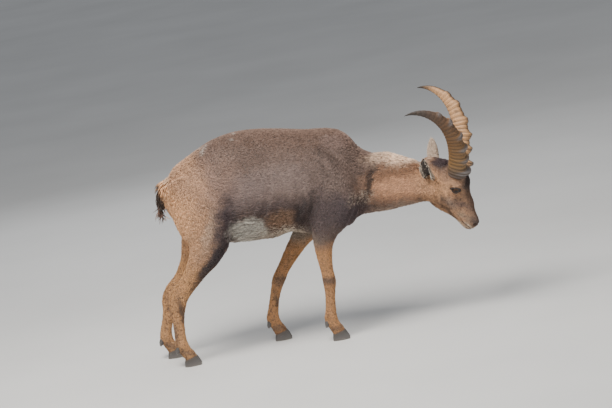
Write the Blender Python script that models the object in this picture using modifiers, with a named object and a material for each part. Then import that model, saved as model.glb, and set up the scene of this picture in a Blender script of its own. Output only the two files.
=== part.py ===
"""Alpine ibex, a young male, as a life-size still model.

Body, neck, head, ears, eyes, horns, tail, four legs with cloven hooves and dewclaws.
Metres, +Z up, +X towards the head, +Y to the animal's left. Trunk and head are modelled level, in a
trunk frame with its origin between the hips, and then tipped forward by TRUNK_PITCH as the animal grazes.
"""

import math
import random

import bmesh
import bpy
import numpy as np
from mathutils import Matrix, Vector
from mathutils.bvhtree import BVHTree

# Stance
HIP_HEIGHT = 0.618
TRUNK_PITCH = math.radians(10.0)
MIDDLE_X = 0.3928
MIDDLE_Y = -0.0154

# Head frame: x from poll to muzzle, y to the animal's left, z towards the forehead
HEAD_ORIGIN = (0.868, 0.0, 0.0805)
HEAD_DOWN = math.radians(60.0)
HEAD_LEFT = (0.185, 0.965, 0.177)
EYE_PLACE = (0.1045, 0.0445, 0.0170)
EYE_RADIUS = 0.0155
LID_HALF_LENGTH = 0.0172
LID_HALF_HEIGHT = 0.0094
LID_THICKNESS = 0.0026

# Horns
HORN_ROOT = (0.0600, 0.0290, 0.0445)
HORN_LENGTH = 0.385
HORN_START = math.radians(144.0)
HORN_SWEEP = math.radians(118.0)
HORN_CURL = 1.87
HORN_SPREAD = math.radians(20.0)
HORN_HALF_DEPTH = 0.0300
HORN_HALF_WIDTH = 0.0230
HORN_TAPER = 2.3
KNOB_PLACES = (0.06, 0.185, 0.305, 0.43, 0.585, 0.70)
KNOB_HEIGHT = 0.0125
KNOB_REACH = 0.0090
RING_COUNT = 26
RING_HEIGHT = 0.0006

# Ears
EAR_ROOT = (0.030, 0.040, -0.036)
EAR_WAY = {"left": (-0.79, 0.50, 0.26), "right": (-0.77, 0.62, 0.22)}
EAR_MOUTH = {"left": (0.20, 0.86, -0.30), "right": (0.20, 0.90, -0.30)}
EAR_LENGTH = 0.116
EAR_HALF_WIDTH = 0.0195
EAR_WALL = 0.0034

# Feet
CLAW_LENGTH = 0.060
CLAW_HEIGHT = 0.035
CLAW_HALF_WIDTH = 0.0125
CLAW_SPLIT = 0.0040
DEWCLAW_LENGTH = 0.026
DEWCLAW_RADIUS = 0.0105

# Mesh sizes
GOLDEN_ANGLE = math.radians(137.508)
GAP = 0.0003
SKIN_VOXEL = 0.0044
SKIN_TRIANGLES = 4500
FINE_FACTOR = 2e-5

# Trunk: x, top, bottom, half width, height of the widest level
TRUNK = (
    (-0.096, -0.002, -0.040, 0.022, -0.020),
    (-0.082, 0.028, -0.085, 0.056, -0.020),
    (-0.053, 0.066, -0.125, 0.084, -0.015),
    (0.000, 0.108, -0.150, 0.104, 0.000),
    (0.040, 0.137, -0.170, 0.116, 0.005),
    (0.079, 0.161, -0.188, 0.126, 0.000),
    (0.145, 0.186, -0.2026, 0.138, -0.015),
    (0.220, 0.198, -0.198, 0.147, -0.025),
    (0.302, 0.200, -0.182, 0.147, -0.025),
    (0.352, 0.199, -0.1665, 0.142, -0.020),
    (0.401, 0.198, -0.169, 0.133, -0.015),
    (0.450, 0.201, -0.173, 0.120, -0.010),
    (0.484, 0.202, -0.174, 0.108, -0.005),
    (0.525, 0.194, -0.166, 0.094, 0.000),
    (0.566, 0.164, -0.133, 0.078, 0.005),
    (0.600, 0.120, -0.095, 0.055, 0.005),
)

# Neck: x, top, bottom, half width, height of the widest level
NECK = (
    (0.500, 0.185, -0.120, 0.080, 0.010),
    (0.530, 0.186, -0.146, 0.082, 0.005),
    (0.566, 0.158, -0.133, 0.078, 0.000),
    (0.603, 0.130, -0.107, 0.071, 0.000),
    (0.640, 0.1165, -0.099, 0.064, 0.000),
    (0.699, 0.1180, -0.090, 0.058, 0.010),
    (0.764, 0.0990, -0.073, 0.0535, 0.010),
    (0.814, 0.0800, -0.060, 0.051, 0.005),
    (0.850, 0.0670, -0.058, 0.049, 0.000),
    (0.880, 0.0480, -0.045, 0.042, 0.000),
)

# Skull, in the head frame: x, top, bottom, half width, height of the widest level
SKULL = (
    (-0.028, -0.018, -0.066, 0.032, -0.040),
    (-0.010, 0.004, -0.080, 0.042, -0.036),
    (0.008, 0.026, -0.090, 0.047, -0.030),
    (0.030, 0.046, -0.095, 0.0495, -0.024),
    (0.058, 0.061, -0.100, 0.0515, -0.017),
    (0.085, 0.069, -0.103, 0.0525, -0.006),
    (0.112, 0.0640, -0.101, 0.0515, 0.004),
    (0.132, 0.0515, -0.095, 0.0470, 0.002),
    (0.152, 0.0430, -0.085, 0.0410, -0.008),
    (0.185, 0.0365, -0.0625, 0.0335, -0.014),
    (0.212, 0.0270, -0.0505, 0.0295, -0.012),
    (0.234, 0.0232, -0.0455, 0.0285, -0.010),
    (0.249, 0.0215, -0.0415, 0.0265, -0.009),
    (0.260, 0.0175, -0.0355, 0.0215, -0.008),
    (0.267, 0.0090, -0.0260, 0.0125, -0.007),
)

# Legs, from the top down: x, y, z, half width, half depth forward, half depth backward
FORELEG = {
    "right": (
        (0.470, 0.062, 0.690, 0.020, 0.025, 0.030),
        (0.478, 0.078, 0.640, 0.028, 0.045, 0.050),
        (0.492, 0.090, 0.570, 0.036, 0.062, 0.070),
        (0.500, 0.094, 0.500, 0.040, 0.066, 0.082),
        (0.478, 0.092, 0.440, 0.042, 0.058, 0.078),
        (0.446, 0.086, 0.395, 0.038, 0.044, 0.056),
        (0.428, 0.082, 0.350, 0.031, 0.034, 0.038),
        (0.422, 0.079, 0.300, 0.0255, 0.027, 0.028),
        (0.421, 0.077, 0.250, 0.0215, 0.023, 0.0215),
        (0.422, 0.076, 0.213, 0.0235, 0.025, 0.0215),
        (0.420, 0.076, 0.185, 0.0205, 0.0210, 0.0190),
        (0.417, 0.076, 0.150, 0.0165, 0.0170, 0.0180),
        (0.412, 0.076, 0.108, 0.0175, 0.0180, 0.0200),
        (0.408, 0.076, 0.078, 0.0235, 0.0215, 0.0240),
        (0.415, 0.076, 0.054, 0.0230, 0.0200, 0.0215),
        (0.424, 0.076, 0.036, 0.0240, 0.0215, 0.0230),
        (0.428, 0.076, 0.020, 0.0225, 0.0205, 0.0210),
    ),
    "left": (
        (0.462, 0.062, 0.690, 0.020, 0.025, 0.030),
        (0.468, 0.078, 0.640, 0.028, 0.045, 0.050),
        (0.480, 0.090, 0.570, 0.036, 0.062, 0.070),
        (0.486, 0.094, 0.500, 0.040, 0.066, 0.080),
        (0.450, 0.092, 0.440, 0.042, 0.058, 0.076),
        (0.392, 0.086, 0.390, 0.038, 0.046, 0.054),
        (0.348, 0.082, 0.348, 0.031, 0.034, 0.038),
        (0.306, 0.079, 0.300, 0.0255, 0.027, 0.028),
        (0.269, 0.077, 0.254, 0.0215, 0.023, 0.0215),
        (0.245, 0.076, 0.219, 0.0235, 0.025, 0.0215),
        (0.233, 0.076, 0.192, 0.0205, 0.0210, 0.0190),
        (0.220, 0.076, 0.153, 0.0165, 0.0170, 0.0180),
        (0.208, 0.076, 0.110, 0.0175, 0.0180, 0.0200),
        (0.202, 0.076, 0.079, 0.0235, 0.0215, 0.0240),
        (0.210, 0.076, 0.054, 0.0230, 0.0200, 0.0215),
        (0.219, 0.076, 0.036, 0.0240, 0.0215, 0.0230),
        (0.223, 0.076, 0.020, 0.0225, 0.0205, 0.0210),
    ),
}
HIND_LEG = {
    "right": (
        (-0.020, 0.062, 0.655, 0.035, 0.060, 0.050),
        (-0.008, 0.080, 0.610, 0.044, 0.092, 0.078),
        (0.012, 0.092, 0.550, 0.048, 0.106, 0.092),
        (0.026, 0.098, 0.490, 0.047, 0.104, 0.090),
        (0.030, 0.102, 0.435, 0.042, 0.084, 0.078),
        (0.010, 0.102, 0.385, 0.035, 0.062, 0.054),
        (-0.026, 0.098, 0.338, 0.028, 0.044, 0.036),
        (-0.064, 0.094, 0.292, 0.0225, 0.034, 0.030),
        (-0.098, 0.090, 0.252, 0.0225, 0.031, 0.034),
        (-0.112, 0.088, 0.218, 0.0225, 0.029, 0.032),
        (-0.118, 0.087, 0.180, 0.0195, 0.0225, 0.0240),
        (-0.121, 0.086, 0.140, 0.0175, 0.0190, 0.0205),
        (-0.123, 0.086, 0.102, 0.0190, 0.0195, 0.0215),
        (-0.122, 0.086, 0.076, 0.0235, 0.0215, 0.0240),
        (-0.113, 0.086, 0.053, 0.0225, 0.0200, 0.0215),
        (-0.103, 0.086, 0.036, 0.0240, 0.0215, 0.0225),
        (-0.099, 0.086, 0.020, 0.0225, 0.0205, 0.0210),
    ),
    "left": (
        (-0.020, 0.062, 0.655, 0.035, 0.060, 0.050),
        (-0.012, 0.080, 0.610, 0.044, 0.090, 0.078),
        (0.000, 0.092, 0.550, 0.048, 0.104, 0.092),
        (0.006, 0.098, 0.490, 0.047, 0.102, 0.088),
        (0.002, 0.102, 0.435, 0.042, 0.083, 0.076),
        (-0.026, 0.102, 0.380, 0.035, 0.062, 0.054),
        (-0.056, 0.098, 0.328, 0.028, 0.044, 0.036),
        (-0.092, 0.094, 0.276, 0.0225, 0.034, 0.030),
        (-0.128, 0.090, 0.236, 0.0225, 0.031, 0.034),
        (-0.147, 0.088, 0.205, 0.0225, 0.029, 0.032),
        (-0.158, 0.087, 0.172, 0.0195, 0.0225, 0.0240),
        (-0.170, 0.086, 0.136, 0.0175, 0.0190, 0.0205),
        (-0.181, 0.086, 0.102, 0.0190, 0.0195, 0.0215),
        (-0.185, 0.086, 0.076, 0.0235, 0.0215, 0.0240),
        (-0.179, 0.086, 0.053, 0.0225, 0.0200, 0.0215),
        (-0.169, 0.086, 0.036, 0.0240, 0.0215, 0.0225),
        (-0.165, 0.086, 0.020, 0.0225, 0.0205, 0.0210),
    ),
}

# Feet: x and y of the middle of the hoof on the floor, x of the back of the fetlock
FEET = {
    "fore_right": (0.430, -0.076, 0.388),
    "fore_left": (0.225, 0.076, 0.182),
    "hind_right": (-0.097, -0.086, -0.142),
    "hind_left": (-0.163, 0.086, -0.208),
}

# Side outlines of the leg regions, in x from the hips and height above the floor
FORE_OUTLINE = {
    "right": ((0.477, 0.702), (0.519, 0.679), (0.562, 0.580), (0.571, 0.487), (0.549, 0.420),
              (0.515, 0.380), (0.482, 0.345), (0.478, 0.200), (0.492, -0.030), (0.365, -0.030),
              (0.372, 0.200), (0.372, 0.320), (0.352, 0.400), (0.350, 0.464), (0.377, 0.551),
              (0.416, 0.646)),
    "left": ((0.477, 0.702), (0.519, 0.679), (0.562, 0.580), (0.571, 0.487), (0.549, 0.420),
             (0.505, 0.378), (0.430, 0.345), (0.355, 0.280), (0.290, 0.170), (0.295, -0.030),
             (0.150, -0.030), (0.155, 0.150), (0.215, 0.260), (0.278, 0.345), (0.323, 0.405),
             (0.350, 0.464), (0.377, 0.551), (0.416, 0.646)),
}
HIND_OUTLINE = {
    "right": ((-0.009, 0.679), (0.057, 0.652), (0.097, 0.590), (0.116, 0.517), (0.130, 0.444),
              (0.118, 0.400), (0.078, 0.352), (0.020, 0.270), (0.000, 0.150), (-0.030, -0.030),
              (-0.200, -0.030), (-0.210, 0.200), (-0.190, 0.300), (-0.170, 0.400), (-0.172, 0.526),
              (-0.138, 0.612), (-0.076, 0.664)),
    "left": ((-0.009, 0.679), (0.057, 0.652), (0.097, 0.590), (0.116, 0.517), (0.118, 0.444),
             (0.095, 0.392), (0.045, 0.340), (-0.030, 0.250), (-0.070, 0.140), (-0.090, -0.030),
             (-0.262, -0.030), (-0.270, 0.180), (-0.235, 0.300), (-0.200, 0.400), (-0.180, 0.526),
             (-0.138, 0.612), (-0.076, 0.664)),
}
SIDE = {"left": 1.0, "right": -1.0}

# Muscles under the hide on each side, in the trunk frame: x, y, z, radii, lean in degrees
MUSCLES = (
    (0.500, 0.076, 0.020, (0.075, 0.040, 0.120), -22.0),
    (0.545, 0.060, -0.075, (0.045, 0.036, 0.060), 0.0),
    (0.045, 0.070, -0.030, (0.100, 0.050, 0.130), 18.0),
)

# Relief on each side, in the trunk frame: a line of places, its reach and how far it is pressed or raised
SIDE_RELIEF = (
    (((0.395, 0.13, 0.060), (0.385, 0.13, -0.030), (0.372, 0.13, -0.110)), 0.034, -0.0055),
    (((0.560, 0.08, 0.110), (0.590, 0.08, 0.020), (0.600, 0.07, -0.050)), 0.030, -0.0050),
    (((0.440, 0.09, 0.150), (0.500, 0.09, 0.110), (0.545, 0.09, -0.020)), 0.026, 0.0035),
    (((0.170, 0.14, 0.060), (0.150, 0.14, -0.020)), 0.060, -0.0080),
    (((0.090, 0.12, 0.110), (0.110, 0.12, 0.085)), 0.034, 0.0050),
    (((0.140, 0.14, -0.050), (0.148, 0.14, -0.140)), 0.028, -0.0055),
    (((0.010, 0.11, -0.060), (-0.020, 0.11, -0.150)), 0.035, -0.0030),
)

# Brow, cheek, root of the horn and lip on each side, in the head frame: x, y, z, radii
SKULL_LUMPS = (
    (0.102, 0.0420, 0.0170, (0.026, 0.0170, 0.022)),
    (0.092, 0.0360, -0.046, (0.044, 0.0175, 0.036)),
    (0.071, 0.0270, 0.050, (0.025, 0.0220, 0.022)),
    (0.240, 0.0140, 0.006, (0.015, 0.0125, 0.013)),
)

# Tail: x, y, z, half width, half depth forward, half depth backward, down to the end of its core
TAIL = (
    (-0.048, 0.0, 0.650, 0.018, 0.013, 0.013),
    (-0.078, 0.0, 0.646, 0.018, 0.013, 0.013),
    (-0.098, 0.0, 0.626, 0.016, 0.011, 0.012),
    (-0.108, 0.0, 0.596, 0.015, 0.009, 0.011),
    (-0.115, 0.0, 0.560, 0.012, 0.007, 0.008),
    (-0.120, 0.0, 0.530, 0.004, 0.003, 0.003),
)

# Coat that stands out: nape crest, belly, moulting flank, the sheath's tuft and the brush of the tail
CREST_LOCKS = 16
CREST_SPAN = (0.650, 0.840)
CREST_SIZE = (0.046, 0.0105, 0.0050)
BELLY_ROWS = ((-0.100, 5), (-0.048, 4), (0.048, 4), (0.100, 5))
BELLY_SPAN = (0.222, 0.335)
BELLY_SIZE = (0.056, 0.0150, 0.0055)
FLANK_ROWS = ((-0.085, 2), (-0.118, 2), (-0.148, 3))
FLANK_SPAN = (0.246, 0.336)
FLANK_SIZE = (0.040, 0.0110, 0.0045)
SHEATH_X = 0.196
SHEATH_SIZE = (0.030, 0.0080, 0.0065)
TAIL_LOCKS = 12
TAIL_SIZE = (0.064, 0.0095, 0.0042)
LOCK_LIFT = 0.17
COAT_SEED = 7

COLOURS = {
    "horn": (0.23, 0.17, 0.11),
    "claw": (0.13, 0.12, 0.12),
    "tail": (0.07, 0.05, 0.04),
    "eye": (0.45, 0.25, 0.06),
    "ear": (0.42, 0.33, 0.24),
    "head": (0.40, 0.27, 0.16),
    "neck": (0.42, 0.29, 0.18),
    "hide": (0.30, 0.20, 0.13),
}
ROUGHNESS = {"horn": 0.6, "claw": 0.45, "tail": 0.85, "eye": 0.15, "ear": 0.8, "head": 0.8, "neck": 0.8,
             "hide": 0.8}


PITCH = Matrix.Rotation(TRUNK_PITCH, 3, "Y")


def trunk_point(x, y, z):
    """A point of the trunk frame, placed in the model."""
    return PITCH @ Vector((x, y, z)) + Vector((-MIDDLE_X, -MIDDLE_Y, HIP_HEIGHT))


def head_axes():
    """Axes of the head in the trunk frame: muzzle, left, forehead."""
    left = Vector(HEAD_LEFT).normalized()
    muzzle = Vector((math.cos(HEAD_DOWN), 0.0, -math.sin(HEAD_DOWN)))
    muzzle = (muzzle - muzzle.dot(left) * left).normalized()
    return muzzle, left, muzzle.cross(left)


def head_point(x, y, z):
    """A point of the head frame, placed in the model."""
    muzzle, left, forehead = head_axes()
    place = Vector(HEAD_ORIGIN) + x * muzzle + y * left + z * forehead
    return trunk_point(*place)


def head_direction(x, y, z):
    """A direction of the head frame, turned into the model."""
    return (head_point(x, y, z) - head_point(0.0, 0.0, 0.0)).normalized()


def head_turn():
    """The head's axes as a rotation in the model."""
    return Matrix((head_direction(1, 0, 0), head_direction(0, 1, 0), head_direction(0, 0, 1))).transposed()


def floor_point(x, y, z):
    """A point measured from the hips along the floor, placed in the model."""
    return Vector((x - MIDDLE_X, y - MIDDLE_Y, z))


def object_from(work, name):
    """Make an object of a working mesh, with its faces outwards."""
    bmesh.ops.recalc_face_normals(work, faces=work.faces)
    mesh = bpy.data.meshes.new(name)
    work.to_mesh(mesh)
    work.free()
    made = bpy.data.objects.new(name, mesh)
    bpy.context.scene.collection.objects.link(made)
    return made


def faced(name, points, faces):
    """Make an object of points and faces."""
    work = bmesh.new()
    corners = [work.verts.new(p) for p in points]
    for face in faces:
        work.faces.new([corners[i] for i in face])
    return object_from(work, name)


def loft(name, rings):
    """A closed form through a row of rings, with a fan at each end."""
    count = len(rings[0])
    points = [p for ring in rings for p in ring]
    faces = []
    for row in range(len(rings) - 1):
        for k in range(count):
            a = row * count + k
            b = row * count + (k + 1) % count
            faces.append((a, b, b + count, a + count))
    for ring, first in ((rings[0], 0), (rings[-1], (len(rings) - 1) * count)):
        points.append(sum((Vector(p) for p in ring), Vector()) / count)
        for k in range(count):
            faces.append((first + k, first + (k + 1) % count, len(points) - 1))
    return faced(name, points, faces)


def curve_rows(rows, steps):
    """Rows of numbers with smooth in-between rows, by a Catmull-Rom curve."""
    rows = np.array(rows, dtype=float)
    out = []
    last = len(rows) - 1
    for i in range(last):
        before, start, end, after = rows[max(i - 1, 0)], rows[i], rows[i + 1], rows[min(i + 2, last)]
        for step in range(steps):
            t = step / steps
            out.append(0.5 * (2.0 * start + (end - before) * t
                              + (2.0 * before - 5.0 * start + 4.0 * end - after) * t * t
                              + (3.0 * start - before - 3.0 * end + after) * t ** 3))
    out.append(rows[last])
    return [[float(v) for v in row] for row in out]


def ring_points(centre, side, front, width, ahead, behind, power, sides):
    """One rounded ring about a centre: side and front are its two directions."""
    ring = []
    for k in range(sides):
        turn = 2.0 * math.pi * k / sides
        c, s = math.cos(turn), math.sin(turn)
        across = math.copysign(abs(c) ** (2.0 / power), c) * width
        along = math.copysign(abs(s) ** (2.0 / power), s) * (ahead if s > 0.0 else behind)
        ring.append(centre + side * across + front * along)
    return ring


def upright_loft(name, rows, place, power_top, power_bottom, narrow, sides=36, steps=3):
    """A form through upright sections of the trunk, neck or skull, in the frame given by place."""
    rings = []
    for x, top, bottom, width, level in curve_rows(rows, steps):
        ring = []
        for k in range(sides):
            turn = 2.0 * math.pi * k / sides
            c, s = math.cos(turn), math.sin(turn)
            power = power_top if s > 0.0 else power_bottom
            y = math.copysign(abs(c) ** (2.0 / power), c) * width
            lift = math.copysign(abs(s) ** (2.0 / power), s)
            z = level + lift * ((top - level) if s > 0.0 else (level - bottom))
            if s < 0.0:
                y *= 1.0 - narrow * s * s
            ring.append(place(x, y, z))
        rings.append(ring)
    return loft(name, rings)


def limb_loft(name, rows, sign, power=2.2, sides=24, steps=3):
    """A form along a limb or tail, with its rings square to the way it runs."""
    fine = curve_rows(rows, steps)
    centres = [floor_point(r[0], sign * r[1], r[2]) for r in fine]
    rings = []
    for i, row in enumerate(fine):
        way = (centres[min(i + 1, len(fine) - 1)] - centres[max(i - 1, 0)]).normalized()
        side = Vector((0.0, 1.0, 0.0))
        side = (side - side.dot(way) * way).normalized()
        front = way.cross(side)
        rings.append(ring_points(centres[i], side, front, row[3], row[4], row[5], power, sides))
    return loft(name, rings)


def ball(name, centre, radii, turn=None, segments=16, rings=9):
    """An ellipsoid object; turn is a 3x3 matrix of its own axes."""
    turn = turn or Matrix.Identity(3)
    place = Matrix.Translation(centre) @ turn.to_4x4() @ Matrix.Diagonal((*radii, 1.0))
    work = bmesh.new()
    bmesh.ops.create_uvsphere(work, u_segments=segments, v_segments=rings, radius=1.0, matrix=place)
    return object_from(work, name)


def merged(name, forms):
    """One object that holds several overlapping forms, whose own objects are removed."""
    work = bmesh.new()
    for form in forms:
        work.from_mesh(form.data)
        drop(form)
    return object_from(work, name)


def apply_modifiers(target):
    """Replace an object's mesh by its modified mesh."""
    bpy.context.view_layer.update()
    graph = bpy.context.evaluated_depsgraph_get()
    mesh = bpy.data.meshes.new_from_object(target.evaluated_get(graph), depsgraph=graph)
    target.modifiers.clear()
    old = target.data
    target.data = mesh
    bpy.data.meshes.remove(old)
    return target


def mesh_arrays(mesh):
    """Points, triangles and edges of a mesh as arrays."""
    points = np.empty(len(mesh.vertices) * 3)
    mesh.vertices.foreach_get("co", points)
    edges = np.empty(len(mesh.edges) * 2, dtype=np.int64)
    mesh.edges.foreach_get("vertices", edges)
    return points.reshape(-1, 3), edges.reshape(-1, 2)


def put_points(mesh, points):
    """Write an array of points back to a mesh."""
    mesh.vertices.foreach_set("co", points.ravel())
    mesh.update()


def relax(points, edges, rounds, weight=None):
    """Smooth points along their edges without shrinking the form."""
    count = np.bincount(edges.ravel(), minlength=len(points)).astype(float)[:, None]
    for step in range(rounds * 2):
        total = np.zeros_like(points)
        for axis in range(3):
            total[:, axis] = (np.bincount(edges[:, 0], points[edges[:, 1], axis], len(points))
                              + np.bincount(edges[:, 1], points[edges[:, 0], axis], len(points)))
        move = (total / count - points) * (0.52 if step % 2 == 0 else -0.54)
        points = points + (move if weight is None else move * weight[:, None])
    return points


def near(points, centre, radius):
    """Weight of each point by its distance from a centre, from 1 there to 0 at the radius."""
    far = np.linalg.norm(points - np.array(centre), axis=1) / radius
    return np.where(far < 1.0, (1.0 - np.clip(far, 0.0, 1.0) ** 2) ** 2, 0.0)


def near_line(points, start, end, radius):
    """Weight of each point by its distance from a straight line between two places."""
    a, b = np.array(start), np.array(end)
    t = np.clip(((points - a) @ (b - a)) / max((b - a) @ (b - a), 1e-12), 0.0, 1.0)
    far = np.linalg.norm(points - (a + t[:, None] * (b - a)), axis=1) / radius
    return np.where(far < 1.0, (1.0 - np.clip(far, 0.0, 1.0) ** 2) ** 2, 0.0)


def move_side(points, line, radius, sign, depth):
    """Press or raise the side of the body along a line of trunk-frame places."""
    weight = np.zeros(len(points))
    for a, b in zip(line[:-1], line[1:]):
        start = trunk_point(a[0], sign * a[1], a[2])
        end = trunk_point(b[0], sign * b[1], b[2])
        weight = np.maximum(weight, near_line(points, start, end, radius))
    points[:, 1] += sign * depth * weight


def boolean(target, cutter, operation, solver="EXACT"):
    """Cut, join or keep the shared part of two objects."""
    step = target.modifiers.new(operation.lower(), "BOOLEAN")
    step.operation = operation
    step.solver = solver
    step.object = cutter
    return apply_modifiers(target)


def grown(source, distance, name):
    """A copy of an object with its surface moved outwards."""
    copy = source.copy()
    copy.data = source.data.copy()
    copy.name = name
    bpy.context.scene.collection.objects.link(copy)
    work = bmesh.new()
    work.from_mesh(copy.data)
    work.normal_update()
    moves = [(v, v.normal.copy()) for v in work.verts]
    for v, normal in moves:
        v.co += normal * distance
    work.to_mesh(copy.data)
    work.free()
    return copy


def drop(thing):
    """Remove a working object."""
    mesh = thing.data
    bpy.data.objects.remove(thing)
    bpy.data.meshes.remove(mesh)


def tidy_solid(target):
    """Weld, clean and triangulate a solid, and keep only its largest closed surface."""
    work = bmesh.new()
    work.from_mesh(target.data)
    bmesh.ops.remove_doubles(work, verts=work.verts, dist=2e-6)
    bmesh.ops.dissolve_degenerate(work, edges=work.edges, dist=2e-6)
    bmesh.ops.triangulate(work, faces=work.faces)
    work.verts.ensure_lookup_table()
    group = [-1] * len(work.verts)
    sizes = []
    for first in work.verts:
        if group[first.index] >= 0:
            continue
        stack, members = [first], []
        group[first.index] = len(sizes)
        while stack:
            v = stack.pop()
            members.append(v)
            for edge in v.link_edges:
                other = edge.other_vert(v)
                if group[other.index] < 0:
                    group[other.index] = len(sizes)
                    stack.append(other)
        size = max((v.co - members[0].co).length for v in members)
        sizes.append((size * len(members), members))
    best = max(range(len(sizes)), key=lambda i: sizes[i][0])
    for i, (size, members) in enumerate(sizes):
        if i != best:
            bmesh.ops.delete(work, geom=members, context="VERTS")
    bmesh.ops.recalc_face_normals(work, faces=work.faces)
    work.to_mesh(target.data)
    work.free()
    return target


def part_off(body, region, name, keep_region=False):
    """Split a body along the surface of a region, with a thin gap; return the part inside it."""
    inside = body.copy()
    inside.data = body.data.copy()
    inside.name = name
    bpy.context.scene.collection.objects.link(inside)
    boolean(inside, region, "INTERSECT")
    wider = grown(region, GAP, name + "_wider")
    boolean(body, wider, "DIFFERENCE")
    drop(wider)
    if not keep_region:
        drop(region)
    return inside


def half_space(place, outwards, size=2.4):
    """A large block that fills one side of a plane."""
    turn = outwards.normalized().to_track_quat("Z", "Y").to_matrix().to_4x4()
    middle = Matrix.Translation(place + outwards.normalized() * size * 0.5)
    work = bmesh.new()
    bmesh.ops.create_cube(work, size=size, matrix=middle @ turn)
    return object_from(work, "region")


def side_prism(outline, inner, outer, sign, steps=2):
    """A block beyond a lengthwise plane, with a rounded outline in the side view."""
    rows = curve_rows(list(outline) + [outline[0]], steps)[:-1]
    count = len(rows)
    points = [floor_point(r[0], sign * inner, r[1]) for r in rows]
    points += [floor_point(r[0], sign * outer, r[1]) for r in rows]
    faces = [(k, (k + 1) % count, count + (k + 1) % count, count + k) for k in range(count)]
    faces += [tuple(range(count)), tuple(range(count, 2 * count))]
    return faced("region", points, faces)


def body_forms():
    """Overlapping closed forms of the whole body under the hide."""
    forms = [
        upright_loft("trunk", TRUNK, trunk_point, 2.0, 2.15, 0.12, sides=44),
        upright_loft("neck", NECK, trunk_point, 2.1, 2.1, 0.10),
        upright_loft("skull", SKULL, head_point, 2.3, 2.2, 0.34),
    ]
    for side, sign in SIDE.items():
        forms.append(limb_loft("foreleg", FORELEG[side], sign))
        forms.append(limb_loft("hind_leg", HIND_LEG[side], sign))
        for x, y, z, radii, lean in MUSCLES:
            turn = PITCH @ Matrix.Rotation(math.radians(lean), 3, "Y")
            forms.append(ball("muscle", trunk_point(x, sign * y, z), radii, turn, 20, 12))
        for x, y, z, radii in SKULL_LUMPS:
            forms.append(ball("lump", head_point(x, sign * y, z), radii, head_turn(), 14, 8))
    return forms


def sculpt_body(points):
    """Press and raise the hide where muscle and bone show."""
    for sign in SIDE.values():
        for line, radius, depth in SIDE_RELIEF:
            move_side(points, line, radius, sign, depth)
    return points


def face_move(points, place, radius, way, depth):
    """Press or raise the face about a place of the head frame, on both sides."""
    for sign in SIDE.values():
        weight = near(points, head_point(place[0], sign * place[1], place[2]), radius)
        points += weight[:, None] * np.array(head_direction(way[0], sign * way[1], way[2])) * depth


def sculpt_head(points):
    """Hollow below the eye, cheek bone, lips and the dip between the nostrils."""
    face_move(points, (0.150, 0.042, 0.000), 0.026, (0, 1, 0), -0.0040)
    face_move(points, (0.135, 0.048, -0.020), 0.020, (0, 1, 0), 0.0028)
    face_move(points, (0.165, 0.036, -0.045), 0.030, (0, 1, 0), -0.0035)
    face_move(points, (0.205, 0.030, -0.020), 0.024, (0, 1, 0), -0.0022)
    face_move(points, (0.240, 0.026, -0.004), 0.016, (0, 1, 0.2), 0.0022)
    face_move(points, (0.236, 0.022, -0.036), 0.014, (0.2, 0.6, -0.8), 0.0022)
    face_move(points, (0.256, 0.000, 0.012), 0.012, (1, 0, 0.2), -0.0015)
    face_move(points, (0.050, 0.030, -0.095), 0.030, (0, 0.3, -1), -0.0030)
    return points


def build_skin():
    """The closed hide of trunk, neck, head and legs, lightened to few triangles."""
    skin = merged("skin", body_forms())
    step = skin.modifiers.new("weld", "REMESH")
    step.mode = "VOXEL"
    step.voxel_size = SKIN_VOXEL
    apply_modifiers(skin)
    points, edges = mesh_arrays(skin.data)
    head_zone = near(points, head_point(0.13, 0.0, -0.01), 0.30)
    weight = np.clip(1.0 - 0.55 * (head_zone > 0.05), 0.0, 1.0)
    points = relax(points, edges, 12, weight)
    points = sculpt_head(sculpt_body(points))
    points = relax(points, edges, 3, weight)
    put_points(skin.data, points)
    group = skin.vertex_groups.new(name="plain")
    fine = near(points, head_point(0.14, 0.0, -0.01), 0.20) > 0.12
    low = points[:, 2] < 0.30
    for level, chosen in ((0.60, fine), (0.80, low & ~fine), (1.0, ~low & ~fine)):
        group.add(np.nonzero(chosen)[0].tolist(), level, "REPLACE")
    triangles = 2 * len(skin.data.polygons)
    step = skin.modifiers.new("lighten", "DECIMATE")
    step.ratio = SKIN_TRIANGLES / triangles
    step.vertex_group = "plain"
    step.vertex_group_factor = FINE_FACTOR
    step.use_collapse_triangulate = True
    apply_modifiers(skin)
    skin.vertex_groups.clear()
    tidy_solid(skin)
    print("skin", len(skin.data.polygons))
    return skin


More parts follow.
